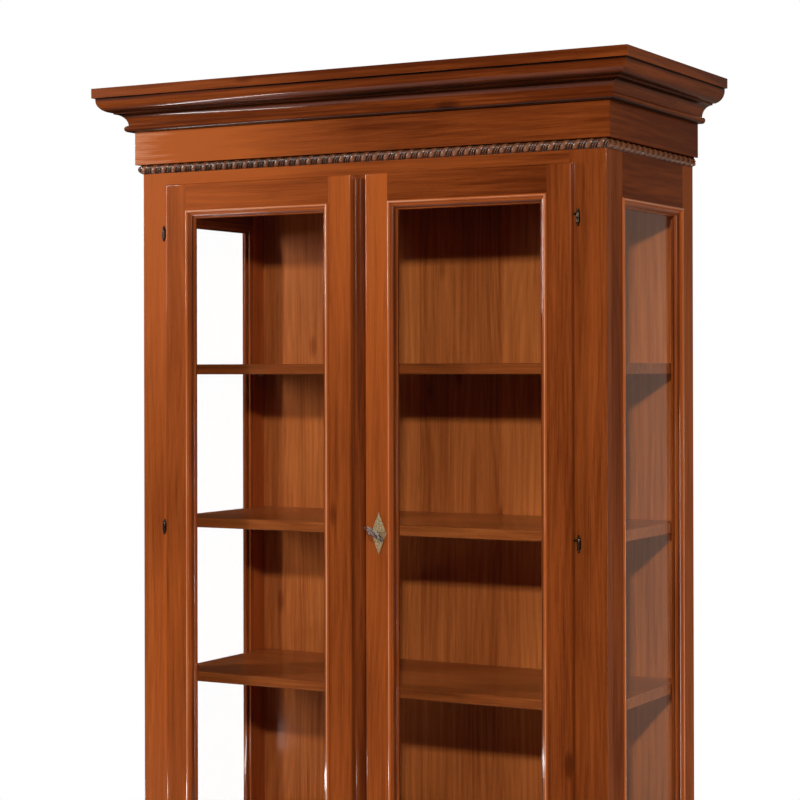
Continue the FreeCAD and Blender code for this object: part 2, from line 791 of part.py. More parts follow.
half_round = doc.addObject("Part::Cylinder", "astragal_round")
half_round.Angle = 180
bind(half_round, Radius=S.astragal_width / 2, Height=S.door_height - S.astragal_short * 2)
place(half_round, ZERO, lip_back_y, door_bottom + S.astragal_short, FreeCAD.Rotation(Z_AXIS, 180))
batten = board("astragal_batten", (-door_inside, S.astragal_width / 2), (lip_back_y, door_back_y), rear_z)
keep("astragal", fuse("astragal", half_round, batten))

# Lock on the right door

case_x = (door_inside, door_inside + S.case_width)
case_y = (door_back_y, door_back_y + S.case_depth)
case_z = (lock_z - S.case_down, lock_z + S.case_up)
bolt_x = (door_inside, door_inside + S.bolt_length)
bolt_y_middle = door_back_y + S.case_depth / 2
bolt_y = about(bolt_y_middle, S.bolt_thickness)
bolt_z = (lock_z + S.bolt_rise, lock_z + S.bolt_rise + S.bolt_height)


def shrunk(ends, by):
    return (ends[0] + by, ends[1] - by)


def grown(ends, by):
    return shrunk(ends, -by)


case_block = board("lock_case_block", case_x, case_y, case_z)
case_hollow = board("lock_case_hollow", shrunk(case_x, S.case_wall), shrunk(case_y, S.case_wall),
                    shrunk(case_z, S.case_wall))
case_mouth = board("lock_case_mouth", (case_x[0], case_x[0] + S.case_wall), grown(bolt_y, S.slide_gap),
                   grown(bolt_z, S.slide_gap))
case_bore = rod("lock_case_bore", S.key_radius + S.running_gap, S.case_depth,
                (lock_x, case_y[0], lock_z), "+Y")
keep("lock_case", cut("lock_case", case_block, case_hollow, case_mouth, case_bore))
keep("lock_bolt", board("lock_bolt", bolt_x, bolt_y, bolt_z))
keep("lock_strike", board("lock_strike", (S.strike_edge - door_inside, S.astragal_width / 2 - S.strike_edge),
                          (door_back_y, door_back_y + S.strike_thickness),
                          about(bolt_z[0], S.strike_height)))

half_plate = S.escutcheon_width / 2
half_plate_height = S.escutcheon_height / 2
plate_outline = section("escutcheon_outline", [(-half_plate, ZERO), (ZERO, -half_plate_height),
                                               (half_plate, ZERO), (ZERO, half_plate_height)], {})
plate_blank = doc.addObject("Part::Extrusion", "escutcheon_blank")
plate_blank.Base = plate_outline
plate_blank.DirMode = "Normal"
plate_blank.Solid = True
bind(plate_blank, LengthFwd=S.escutcheon_thickness)
# the outline lies across Y and Z, so a quarter turn about Z brings it to the door's face
place(plate_blank, lock_x, door_front_y, lock_z, FreeCAD.Rotation(Z_AXIS, -90))
plate_hole = rod("escutcheon_hole", S.key_radius + S.key_hole_gap, S.escutcheon_thickness,
                 (lock_x, door_front_y, lock_z), "-Y")
keep("escutcheon", cut("escutcheon", plate_blank, plate_hole))

# Key, its bow tilted as it is left in the lock

key_front_y = door_front_y - S.key_reach
key_tip_y = case_y[1] - S.case_wall / 2
key_shaft = rod("key_shaft", S.key_radius, key_tip_y - key_front_y,
                (lock_x, key_front_y, lock_z), "+Y")
key_collar = rod("key_collar", S.key_collar_radius, S.key_collar,
                 (lock_x, key_front_y, lock_z), "+Y")
key_bit = board("key_bit", about(lock_x, S.key_bit_thickness),
                about(bolt_y_middle, S.key_bit_length), (lock_z - S.key_bit, lock_z))
BOW_TURN = FreeCAD.Rotation(Y_AXIS, BOW_TILT)
bow_outline = doc.addObject("Part::Ellipse", "bow_outline")
bind(bow_outline, MajorRadius=S.bow_width / 2, MinorRadius=S.bow_length / 2)
bow_plate = doc.addObject("Part::Extrusion", "bow_plate")
bow_plate.Base = bow_outline
bow_plate.DirMode = "Normal"
bow_plate.Solid = True
bind(bow_plate, LengthFwd=S.bow_thickness / 2, LengthRev=S.bow_thickness / 2)
bow_holes = [
    place(rod(f"bow_hole_{index}", S.bow_hole_radius, S.bow_thickness * 2, (ZERO, ZERO, ZERO), "+Z"),
          S.bow_width / 4 * step, ZERO, -S.bow_thickness)
    for index, step in enumerate((-1, 1))
]
bow = cut("key_bow", bow_plate, *bow_holes)
place(bow, lock_x, key_front_y - S.bow_length / 2 + S.bow_thickness / 2, lock_z, BOW_TURN)
keep("key", fuse("key", key_shaft, key_collar, key_bit, bow))

# Bolts inside the left door: a flat bar in a guide, with a knob, at each end

bar_x = about(-meeting_stile_middle, S.door_bolt_width)
bar_y = (door_back_y + S.slide_gap, door_back_y + S.slide_gap + S.door_bolt_thickness)
guide_x = about(-meeting_stile_middle, S.guide_width)
guide_y = (door_back_y, door_back_y + S.guide_depth)
channel_y = (door_back_y, bar_y[1] + S.slide_gap)
guides = []
for end_name, end_z, inwards in (("top", rear_z[1], -1), ("bottom", rear_z[0], 1)):
    def stretch(near, far):
        """Low and high Z of a stretch measured from the door's end towards its middle."""
        return (end_z - far, end_z - near) if inwards < 0 else (end_z + near, end_z + far)

    guide_z = stretch(S.guide_from_end, S.guide_from_end + S.guide_height)
    block = board(f"{end_name}_guide_block", guide_x, guide_y, guide_z)
    channel = board(f"{end_name}_guide_channel", grown(bar_x, S.slide_gap), channel_y, guide_z)
    guides.append(cut(f"{end_name}_guide", block, channel))

    bar = board(f"{end_name}_bar", bar_x, bar_y, stretch(ZERO, S.door_bolt_length))
    knob_z = end_z + (S.door_bolt_length - S.knob_from_end) * inwards
    knob = rod(f"{end_name}_knob", S.knob_radius, S.knob_length,
               (-meeting_stile_middle, bar_y[1], knob_z), "+Y")
    keep(f"{end_name}_door_bolt", fuse(f"{end_name}_door_bolt", bar, knob))
keep("door_bolt_guides", group("door_bolt_guides", guides))

# Check every object, then write each piece to its own file

doc.recompute()
for item in doc.Objects:
    if {"Invalid", "Error"} & set(item.State):
        raise RuntimeError(f"{item.Name} failed: {item.State}")
os.makedirs("parts", exist_ok=True)
for piece in pieces:
    shape = piece.Shape
    if shape.isNull() or not shape.isValid() or not shape.Solids:
        raise RuntimeError(f"{piece.Label} has no valid solid")
for piece in pieces:
    piece.Shape.exportStep(f"parts/{piece.Label}.step")
print(len(pieces), "pieces,", sum(len(piece.Shape.Solids) for piece in pieces), "solids")
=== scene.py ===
import json
import math
import random
from collections import namedtuple

import bpy
from mathutils import Euler, Matrix, Vector


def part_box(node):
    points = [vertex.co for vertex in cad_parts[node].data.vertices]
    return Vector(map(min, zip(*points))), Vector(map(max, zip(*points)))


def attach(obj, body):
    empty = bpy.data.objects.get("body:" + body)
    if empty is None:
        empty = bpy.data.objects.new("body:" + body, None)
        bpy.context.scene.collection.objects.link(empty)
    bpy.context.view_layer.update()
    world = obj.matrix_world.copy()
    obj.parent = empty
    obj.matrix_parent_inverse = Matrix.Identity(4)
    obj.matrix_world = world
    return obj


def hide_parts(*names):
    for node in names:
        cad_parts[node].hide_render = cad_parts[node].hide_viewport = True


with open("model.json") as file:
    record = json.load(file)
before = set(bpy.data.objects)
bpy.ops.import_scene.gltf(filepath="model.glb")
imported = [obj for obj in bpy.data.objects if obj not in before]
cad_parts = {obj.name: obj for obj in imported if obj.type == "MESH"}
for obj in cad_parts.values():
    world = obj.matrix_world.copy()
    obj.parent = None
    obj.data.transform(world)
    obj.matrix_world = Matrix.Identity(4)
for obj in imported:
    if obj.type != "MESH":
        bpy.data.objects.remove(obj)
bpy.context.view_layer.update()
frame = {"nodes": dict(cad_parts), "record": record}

# A glazed bookcase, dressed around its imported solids. Metres, front towards -Y.

MM = 0.001
BODY_OF = {node: body for body, nodes in frame["record"]["behaviour"]["bodies"].items() for node in nodes}
SLOT_OF = {part["node"]: part["material_slot"] for part in frame["record"]["subparts"]}
X, Y, Z = Vector((1, 0, 0)), Vector((0, 1, 0)), Vector((0, 0, 1))

# Sections of the mouldings, as in the solids
CROWN_PROUD = 76 * MM
GLAZING_BEAD = 7 * MM
PLINTH_PROUD, PLINTH_THICKNESS = 14 * MM, 20 * MM
FRIEZE_THICKNESS = 12 * MM
BEAD_WIDTH = 12 * MM

# Carved rope: in each pitch a fat strand and two thin ones between grooves, each with the share of the
# pitch that it takes and its rise above the core, as a share of the rope's radius. The rim is the flat part
# behind the carving.
ROPE_PITCH = 25.5 * MM
ROPE_STRANDS = ((0.56, 0.5), (0.06, 0), (0.14, 0.32), (0.05, 0), (0.14, 0.32), (0.05, 0))
ROPE_CORE = 0.5
ROPE_RIM = 1.5 * MM
ROPE_LEAN = 0.45
ROPE_STEPS = 24
ROPE_SEGMENTS = 16
ROPE_SHARP = math.radians(60)

# Tone painted into the rope: painted shade in its grooves and painted light on its crests, and how steeply
# it rises between them
GROOVE_PAINTED_SHADE, CREST_PAINTED_LIGHT, TONE_RISE = -1.1, 0.4, 0.8

# Softness of the arrises
ARRIS = 0.35 * MM
MOULDING_ARRIS = 0.5 * MM
BACK_BOARD_ARRIS = 1.2 * MM
METAL_ARRIS = 0.3 * MM
PLATE_ARRIS = 0.25 * MM
SHARP = math.radians(35)

# How near two points, and how flat two faces, have to be to count as one
MERGE = 0.01 * MM
FLAT = math.radians(0.5)

# Wear of the arrises together with a painted highlight along them, as a rise in tone, and the difference
# between one plank and the next
ARRIS_WEAR_AND_HIGHLIGHT = 0.35
LIGHT_ARRIS_ANGLE = math.radians(30)
TONE_SPREAD = 0.12
GRAIN_SHIFT = 40

# How a plank is finished and shaded: its tone, its share of lacquer, how its tone changes from the middle
# to the near and the far end as a painted falloff of light, and the points of its section where shade is
# painted into hollows or, with a negative drop, a highlight onto crests, each with a spread in millimetres
# and a drop in tone
Finish = namedtuple("Finish", "tone lacquer fades recesses", defaults=(0.0, 1.0, (0.0, 0.0), ()))
PLAIN = Finish()


# Modelling helpers

def only(piece):
    """Makes a piece the one selected and active object."""
    bpy.ops.object.select_all(action="DESELECT")
    piece.select_set(True)
    bpy.context.view_layer.objects.active = piece


def open_mesh(piece):
    """Goes into edit mode with the whole mesh selected."""
    only(piece)
    bpy.ops.object.mode_set(mode="EDIT")
    bpy.ops.mesh.select_all(action="SELECT")


def close_mesh():
    bpy.ops.object.mode_set(mode="OBJECT")


def shaped(piece, kind, **settings):
    """Adds a modifier with its settings and applies it."""
    only(piece)
    change = piece.modifiers.new(kind.lower(), kind)
    for name, value in settings.items():
        setattr(change, name, value)
    bpy.ops.object.modifier_apply(modifier=change.name)


def soften(piece, width):
    """Rounds the sharp arrises and smooths what is left."""
    shaped(piece, "BEVEL", width=width, segments=2, limit_method="ANGLE", angle_limit=SHARP)
    only(piece)
    bpy.ops.object.shade_smooth_by_angle(angle=SHARP)
    shaped(piece, "WEIGHTED_NORMAL", keep_sharp=True)


def joined(name, parts):
    """Joins parts into one piece with a name."""
    bpy.ops.object.select_all(action="DESELECT")
    for part in parts:
        part.select_set(True)
    bpy.context.view_layer.objects.active = parts[0]
    bpy.ops.object.join()
    parts[0].name = name
    return parts[0]


def settle(piece, origin, along, out, up):
    """Moves a mesh from its own axes to a place in the frame."""
    turn = Matrix((along, out, up)).transposed().to_4x4()
    piece.data.transform(Matrix.Translation(origin) @ turn)


def lightened_arrises(mesh):
    """Vertices where the faces on both sides of an edge turn away from each other."""
    normals = {}
    lightened = set()
    for face in mesh.polygons:
        for edge in face.edge_keys:
            if edge in normals and normals[edge].angle(face.normal, 0) > LIGHT_ARRIS_ANGLE:
                lightened.update(edge)
            normals[edge] = face.normal.copy()
    return lightened


def lay_grain(piece, axis, look=PLAIN):
    """Keeps each vertex's place in its plank, along the grain first, and its tone and lacquer."""
    mesh = piece.data
    places = [vertex.co[axis] for vertex in mesh.vertices]
    middle, reach = (max(places) + min(places)) / 2, (max(places) - min(places)) / 2
    if look.fades != PLAIN.fades:
        open_mesh(piece)
        along = [float(k == axis) for k in range(3)]
        bpy.ops.mesh.bisect(plane_co=[middle * part for part in along], plane_no=along)
        bpy.ops.mesh.customdata_custom_splitnormals_clear()
        close_mesh()
        shaped(piece, "WEIGHTED_NORMAL", keep_sharp=True)
    draw = random.Random(piece.name)
    shift = Vector([draw.uniform(0, GRAIN_SHIFT) for k in range(3)])
    order = (axis, (axis + 1) % 3, (axis + 2) % 3)
    plank_tone = look.tone + draw.uniform(-TONE_SPREAD, TONE_SPREAD)
    # Arrises are lighter: partly wear, partly a painted highlight
    lightened = lightened_arrises(mesh)
    tones = []
    for vertex in mesh.vertices:
        place = (vertex.co[axis] - middle) / reach
        # Painted light: the tone grows lighter or darker towards the ends of the plank as the lamps fall
        # off
        fade = look.fades[0] * max(0, -place) + look.fades[1] * max(0, place)
        tones.append(plank_tone + fade + ARRIS_WEAR_AND_HIGHLIGHT * (vertex.index in lightened))
    mesh.attributes.new("grain", "FLOAT_VECTOR", "POINT")
    for label, values in (("tone", tones), ("lacquer", [look.lacquer] * len(tones))):
        mesh.attributes.new(label, "FLOAT", "POINT")
        mesh.attributes[label].data.foreach_set("value", values)
    for vertex, place in zip(mesh.vertices, mesh.attributes["grain"].data):
        place.vector = Vector([vertex.co[k] for k in order]) + shift


def coat(piece, slot):
    """Gives a piece the one material of a slot."""
    piece.data.materials.clear()
    piece.data.materials.append(MATERIALS[slot])


def dress(piece, node):
    """Gives a finished piece the material, body and slot of the solid that it stands for."""
    coat(piece, SLOT_OF[node])
    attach(piece, BODY_OF[node])
    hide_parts(node)


def from_solid(node, arris):
    """A copy of a solid's mesh, cleaned to whole faces, with softened arrises."""
    piece = bpy.data.objects.new(f"{node}_finished", frame["nodes"][node].data.copy())
    bpy.context.scene.collection.objects.link(piece)
    open_mesh(piece)
    bpy.ops.mesh.customdata_custom_splitnormals_clear()
    bpy.ops.mesh.remove_doubles(threshold=MERGE)
    bpy.ops.mesh.dissolve_limited(angle_limit=FLAT)
    close_mesh()
    soften(piece, arris)
    return piece


def arc(start, end, sweep, steps):
    """Points after start, up to end, on an arc. A positive sweep, in degrees, turns left."""
    first, last = Vector(start), Vector(end)
    chord = last - first
    half = math.radians(sweep) / 2
    radius = chord.length / (2 * math.sin(half))
    left = Vector((-chord.y, chord.x)).normalized()
    centre = (first + last) / 2 + left * (radius * math.cos(half))
    spoke = first - centre
    turns = [math.radians(sweep) * step / steps for step in range(1, steps + 1)]
    return [tuple(centre + Matrix.Rotation(turn, 2) @ spoke) for turn in turns]


def millimetres(*points):
    return [(out * MM, up * MM) for out, up in points]


def blank(name, outline, length, spare):
    """A bar with the outline as its section, along X, spare longer at both ends."""
    bpy.ops.object.select_all(action="DESELECT")
    bpy.ops.mesh.primitive_circle_add(vertices=len(outline), radius=1, fill_type="NGON")
    piece = bpy.context.object
    piece.name = name
    for vertex, (out, up) in zip(piece.data.vertices, outline):
        vertex.co = (-spare, out, up)
    open_mesh(piece)
    bpy.ops.mesh.extrude_region_move(TRANSFORM_OT_translate={"value": (length + 2 * spare, 0, 0)})
    close_mesh()
    return piece


def cut_ends(piece, length, start_flare, end_flare):
    """Saws both ends: flare 1 is an outside mitre, -1 an inside mitre, 0 a square end."""
    for end_x, normal in ((0, (-1, -start_flare, 0)), (length, (1, -end_flare, 0))):
        open_mesh(piece)
        bpy.ops.mesh.bisect(plane_co=(end_x, 0, 0), plane_no=normal, use_fill=True, clear_outer=True)
        close_mesh()
    open_mesh(piece)
    bpy.ops.mesh.normals_make_consistent(inside=False)
    close_mesh()


def stick(name, outline, length, flares, arris, look=PLAIN):
    """A length of moulding along X, with its section in Y and Z."""
    spare = 3 * max(abs(out) for out, up in outline)
    piece = blank(name, outline, length, spare)
    cut_ends(piece, length, *flares)
    soften(piece, arris)
    lay_grain(piece, 0, look)
    # Paints shade into the hollows of the section, and a highlight where the drop is negative
    for vertex, shade in zip(piece.data.vertices, piece.data.attributes["tone"].data):
        for out, up, spread, drop in look.recesses:
            away = math.hypot(vertex.co.y / MM - out, vertex.co.z / MM - up)
            shade.value -= drop * max(0, 1 - away / spread)
    return piece


def three_sides(name, make, bottom):
    """Front, left and right lengths round the carcass, each made from its name, length and flares."""
    width, depth = 2 * HALF_WIDTH, BACK_Y - FRONT_Y
    front = make(f"{name}_front", width, (1, 1))
    settle(front, (HALF_WIDTH, FRONT_Y, bottom), -X, -Y, Z)
    left = make(f"{name}_left", depth, (1, 0))
    settle(left, (-HALF_WIDTH, FRONT_Y, bottom), Y, -X, Z)
    right = make(f"{name}_right", depth, (0, 1))
    settle(right, (HALF_WIDTH, BACK_Y, bottom), -Y, X, Z)
    return joined(f"{name}_finished", [front, left, right])


def round_opening(name, outline, corner, width, height, across, out, look=PLAIN):
    """Four mitred lengths round the inside of an upright opening."""
    corner = Vector(corner)
    sides = (
        (corner, across, Z, width),
        (corner + across * width, Z, -across, height),
        (corner + across * width + Z * height, -across, -Z, width),
        (corner + Z * height, -Z, across, height),
    )
    parts = []
    for index, (start, along, inward, length) in enumerate(sides):
        part = stick(f"{name}_{index}", outline, length, (-1, -1), MOULDING_ARRIS, look)
        settle(part, start, along, inward, out)
        parts.append(part)
    return joined(f"{name}_finished", parts)


# Shader helpers

def add(tree, kind, **values):
    """A node with its inputs or settings given by name."""
    node = tree.nodes.new(kind)
    for name, value in values.items():
        if name in node.inputs:
            node.inputs[name].default_value = value
        else:
            setattr(node, name, value)
    return node


def feed(tree, value, socket):
    """Links a socket, or sets a plain value."""
    if isinstance(value, bpy.types.NodeSocket):
        tree.links.new(value, socket)
    else:
        socket.default_value = value


def calc(tree, operation, first, second=0.0, third=0.0):
    """The result of a sum with sockets or plain values."""
    node = add(tree, "ShaderNodeMath", operation=operation)
    for value, socket in zip((first, second, third), node.inputs):
        feed(tree, value, socket)
    return node.outputs[0]


def stretched_noise(tree, vector, scale, detail):
    """Noise in a space that is stretched along the axes, as a value about 0."""
    space = add(tree, "ShaderNodeVectorMath", operation="MULTIPLY")
    feed(tree, vector, space.inputs[0])
    space.inputs[1].default_value = scale
    noise = add(tree, "ShaderNodeTexNoise", Scale=1.0, Detail=detail, Roughness=0.55)
    tree.links.new(space.outputs[0], noise.inputs["Vector"])
    return calc(tree, "SUBTRACT", noise.outputs["Fac"], 0.5)


def ranged(tree, value, low, high, to_low=0.0, to_high=1.0):
    """A value taken smoothly from one range to another."""
    node = add(tree, "ShaderNodeMapRange", interpolation_type="SMOOTHSTEP")
    for name, given in (("Value", value), ("From Min", low), ("From Max", high),
                        ("To Min", to_low), ("To Max", to_high)):
        feed(tree, given, node.inputs[name])
    return node.outputs["Result"]


def mixed(tree, factor, first, second):
    """A colour between two."""
    node = add(tree, "ShaderNodeMix", data_type="RGBA")
    feed(tree, factor, node.inputs["Factor"])
    for value, socket in zip((first, second), (node.inputs[6], node.inputs[7])):
        feed(tree, value, socket)
    return node.outputs[2]


def new_group(name, inputs, outputs):
    """A shader node group with named sockets; returns it with its inner input and output nodes."""
    tree = bpy.data.node_groups.new(name, "ShaderNodeTree")
    for direction, sockets in (("INPUT", inputs), ("OUTPUT", outputs)):
        for label, kind in sockets:
            tree.interface.new_socket(label, in_out=direction, socket_type=f"NodeSocket{kind}")
    return tree, tree.nodes.new("NodeGroupInput"), tree.nodes.new("NodeGroupOutput")


def new_material(name):
    """A material with its own Principled shader and no other nodes but the output."""
    material = bpy.data.materials.new(name)
    material.use_nodes = True
    tree = material.node_tree
    return material, tree, tree.nodes["Principled BSDF"]


# Wood: a stained and lacquered plank, painted nearly black as shade in its hollows, and painted pale as a
# highlight on crests and arrises, which are partly also rubbed

# Colour of the painted shade in hollows, and of the painted highlight, which on arrises partly also stands
# for wear, with the tones over which each is mixed in
PAINTED_SHADE_COLOUR = (0.006, 0.0025, 0.0012, 1)
WORN_AND_HIGHLIT_WOOD = (0.79, 0.35, 0.19, 1)
PAINTED_SHADE_TONES, WORN_AND_HIGHLIT_TONES = (-0.7, 0.0), (1.5, 2.1)
MIDDLE_SHADE, RING_DEPTH = 0.4, 0.04

# Repeats of each pattern in a metre, along the grain and across it both ways
SWAY_SCALE = (1.1, 6, 6)
FIBRE_SCALE = (11, 420, 420)
STREAK_SCALE = (2.6, 75, 75)
PATCH_SCALE = (2.3, 8, 8)
PORE_SCALE = (55, 1500, 1500)
KNOT_SCALE = (3.2, 9, 9)
RINGS_ACROSS, RINGS_DEEP, RING_SWAY = 62, 47, 9


def wood_group():
    """Growth rings, fibres, streaks, pores and knots that follow the grain of a plank."""
    tree, given, result = new_group(
        "stained_plank",
        [("Grain", "Vector"), ("Tone", "Float"), ("Light", "Color"), ("Dark", "Color"),
         ("Figure", "Float")],
        [("Color", "Color"), ("Roughness", "Float"), ("Height", "Float")],
    )
    grain = given.outputs["Grain"]
    place = add(tree, "ShaderNodeSeparateXYZ")
    tree.links.new(grain, place.inputs[0])

    sway = stretched_noise(tree, grain, SWAY_SCALE, 2)
    ring_place = calc(tree, "ADD", calc(tree, "MULTIPLY", place.outputs["Y"], RINGS_ACROSS),
                      calc(tree, "MULTIPLY", place.outputs["Z"], RINGS_DEEP))
    ring_place = calc(tree, "ADD", ring_place, calc(tree, "MULTIPLY", sway, RING_SWAY))
    rings = calc(tree, "SINE", calc(tree, "MULTIPLY", ring_place, 2 * math.pi))
    fibres = stretched_noise(tree, grain, FIBRE_SCALE, 3)
    streaks = stretched_noise(tree, grain, STREAK_SCALE, 2)
    patches = stretched_noise(tree, grain, PATCH_SCALE, 1)
    pores = ranged(tree, stretched_noise(tree, grain, PORE_SCALE, 1), 0.1, 0.2)
    knot_space = add(tree, "ShaderNodeVectorMath", operation="MULTIPLY")
    tree.links.new(grain, knot_space.inputs[0])
    knot_space.inputs[1].default_value = KNOT_SCALE
    knots = add(tree, "ShaderNodeTexVoronoi", Scale=1.0)
    tree.links.new(knot_space.outputs[0], knots.inputs["Vector"])
    knot = ranged(tree, knots.outputs["Distance"], 0.12, 0.03)

    ring_depth = calc(tree, "MULTIPLY", given.outputs["Figure"], RING_DEPTH)
    shade = calc(tree, "MULTIPLY_ADD", rings, ring_depth, MIDDLE_SHADE)
    for value, weight in ((fibres, 0.7), (streaks, 0.7), (patches, 0.6), (pores, -0.14), (knot, -0.4)):
        shade = calc(tree, "MULTIPLY_ADD", value, weight, shade)
    shade = calc(tree, "ADD", shade, given.outputs["Tone"])
    colour = mixed(tree, shade, given.outputs["Dark"], given.outputs["Light"])
    # Painted shade where the tone falls below zero, painted highlight where it rises far above one
    colour = mixed(tree, ranged(tree, shade, *PAINTED_SHADE_TONES), PAINTED_SHADE_COLOUR, colour)
    colour = mixed(tree, ranged(tree, shade, *WORN_AND_HIGHLIT_TONES), colour, WORN_AND_HIGHLIT_WOOD)
    tree.links.new(colour, result.inputs["Color"])
    roughness = calc(tree, "MULTIPLY_ADD", fibres, 0.22, 0.36)
    tree.links.new(roughness, result.inputs["Roughness"])
    height = calc(tree, "SUBTRACT", calc(tree, "MULTIPLY", fibres, 0.6), pores)
    tree.links.new(height, result.inputs["Height"])
    return tree


WOOD = wood_group()


def wood(name, light, dark, figure=1.0, gloss=0.45, specular=0.03):
    """Wood between two colours, with lacquer over it where the plank has its share."""
    material, tree, shader = new_material(name)
    plank = add(tree, "ShaderNodeGroup", node_tree=WOOD)
    plank.inputs["Light"].default_value = (*light, 1)
    plank.inputs["Dark"].default_value = (*dark, 1)
    plank.inputs["Figure"].default_value = figure
    for label, socket, output in (("grain", "Grain", "Vector"), ("tone", "Tone", "Fac")):
        attribute = add(tree, "ShaderNodeAttribute", attribute_name=label)
        tree.links.new(attribute.outputs[output], plank.inputs[socket])
    bump = add(tree, "ShaderNodeBump", Strength=0.18, Distance=0.4 * MM)
    tree.links.new(plank.outputs["Height"], bump.inputs["Height"])
    tree.links.new(bump.outputs["Normal"], shader.inputs["Normal"])
    tree.links.new(plank.outputs["Color"], shader.inputs["Base Color"])
    tree.links.new(plank.outputs["Roughness"], shader.inputs["Roughness"])
    shader.inputs["Specular IOR Level"].default_value = specular
    lacquer = add(tree, "ShaderNodeAttribute", attribute_name="lacquer")
    tree.links.new(calc(tree, "MULTIPLY", lacquer.outputs["Fac"], gloss), shader.inputs["Coat Weight"])
    shader.inputs["Coat Roughness"].default_value = 0.1
    return material


# Metal: a cast or turned surface with patches of tarnish

def tarnish_group():
    """Bright metal with dull patches, and small dents."""
    tree, given, result = new_group(
        "tarnish",
        [("Place", "Vector"), ("Scale", "Float"), ("Bright", "Color"), ("Dull", "Color"),
         ("Spread", "Float")],
        [("Color", "Color"), ("Roughness", "Float"), ("Height", "Float")],
    )
    large = add(tree, "ShaderNodeTexNoise", Detail=4.0, Roughness=0.6)
    tree.links.new(given.outputs["Place"], large.inputs["Vector"])
    tree.links.new(given.outputs["Scale"], large.inputs["Scale"])
    dents = add(tree, "ShaderNodeTexVoronoi", feature="SMOOTH_F1")
    tree.links.new(given.outputs["Place"], dents.inputs["Vector"])
    tree.links.new(calc(tree, "MULTIPLY", given.outputs["Scale"], 3.0), dents.inputs["Scale"])
    low = calc(tree, "SUBTRACT", 0.5, given.outputs["Spread"])
    high = calc(tree, "ADD", 0.5, given.outputs["Spread"])
    mask = ranged(tree, large.outputs["Fac"], low, high)
    colour = mixed(tree, mask, given.outputs["Dull"], given.outputs["Bright"])
    tree.links.new(colour, result.inputs["Color"])
    tree.links.new(calc(tree, "MULTIPLY_ADD", mask, -0.18, 0.5), result.inputs["Roughness"])
    tree.links.new(dents.outputs["Distance"], result.inputs["Height"])
    return tree


TARNISH = tarnish_group()


def metal(name, bright, dull, scale, spread=0.12, dents=0.1):
    """Metal between two colours, with patches and dents at a scale."""
    material, tree, shader = new_material(name)
    place = add(tree, "ShaderNodeTexCoord")
    look = add(tree, "ShaderNodeGroup", node_tree=TARNISH)
    look.inputs["Scale"].default_value = scale
    look.inputs["Spread"].default_value = spread
    look.inputs["Bright"].default_value = (*bright, 1)
    look.inputs["Dull"].default_value = (*dull, 1)
    tree.links.new(place.outputs["Object"], look.inputs["Place"])
    bump = add(tree, "ShaderNodeBump", Strength=dents, Distance=0.5 * MM)
    tree.links.new(look.outputs["Height"], bump.inputs["Height"])
    tree.links.new(bump.outputs["Normal"], shader.inputs["Normal"])
    tree.links.new(look.outputs["Color"], shader.inputs["Base Color"])
    tree.links.new(look.outputs["Roughness"], shader.inputs["Roughness"])
    shader.inputs["Metallic"].default_value = 1.0
    return material


# Glass: clear panes that let the lamps through

def pane_glass(name):
    """Slightly smeared glass that casts no shadow."""
    material, tree, shader = new_material(name)
    place = add(tree, "ShaderNodeTexCoord")
    smears = add(tree, "ShaderNodeTexNoise", Scale=6.0, Detail=3.0)
    tree.links.new(place.outputs["Object"], smears.inputs["Vector"])
    tree.links.new(ranged(tree, smears.outputs["Fac"], 0.3, 0.8, 0.0, 0.03), shader.inputs["Roughness"])
    shader.inputs["Base Color"].default_value = (1, 1, 1, 1)
    shader.inputs["Transmission Weight"].default_value = 1.0
    shader.inputs["IOR"].default_value = 1.45
    clear = add(tree, "ShaderNodeBsdfTransparent")
    path = add(tree, "ShaderNodeLightPath")
    passing = calc(tree, "MAXIMUM", path.outputs["Is Shadow Ray"], path.outputs["Is Diffuse Ray"])
    either = add(tree, "ShaderNodeMixShader")
    tree.links.new(passing, either.inputs[0])
    tree.links.new(shader.outputs[0], either.inputs[1])
    tree.links.new(clear.outputs[0], either.inputs[2])
    tree.links.new(either.outputs[0], tree.nodes["Material Output"].inputs["Surface"])
    return material


MATERIALS = {
    "carcass_wood": wood("carcass_wood", (0.5, 0.112, 0.02), (0.13, 0.023, 0.004)),
    "door_wood": wood("door_wood", (0.52, 0.115, 0.02), (0.13, 0.023, 0.004)),
    "inside_wood": wood("inside_wood", (0.72, 0.22, 0.05), (0.26, 0.06, 0.012), figure=1.6, gloss=0.1),
    "rope_wood": wood("rope_wood", (0.34, 0.115, 0.045), (0.04, 0.014, 0.006), figure=0.4, gloss=0.3,
                      specular=0.6),
    "clear_glass": pane_glass("clear_glass"),
    "hinge_bronze": metal("hinge_bronze", (0.12, 0.085, 0.06), (0.03, 0.02, 0.014), 220),
    "escutcheon_brass": metal("escutcheon_brass", (0.95, 0.76, 0.45), (0.45, 0.33, 0.15), 320, dents=0.9),
    "key_steel": metal("key_steel", (0.62, 0.57, 0.55), (0.1, 0.08, 0.075), 160, dents=0.2),
    "lock_brass": metal("lock_brass", (0.66, 0.47, 0.17), (0.38, 0.24, 0.08), 60),
    "pin_steel": metal("pin_steel", (0.72, 0.71, 0.69), (0.5, 0.49, 0.47), 90),
    "screw_steel": metal("screw_steel", (0.6, 0.6, 0.62), (0.35, 0.35, 0.36), 120),
}


# Places read from the frame

crown_low, crown_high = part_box("crown_moulding")
HALF_WIDTH = crown_high.x - CROWN_PROUD
FRONT_Y = crown_low.y + CROWN_PROUD
BACK_Y = crown_high.y
CARCASS_TOP = crown_low.z

# Boards with plain sections keep their solids' shape, with softened arrises

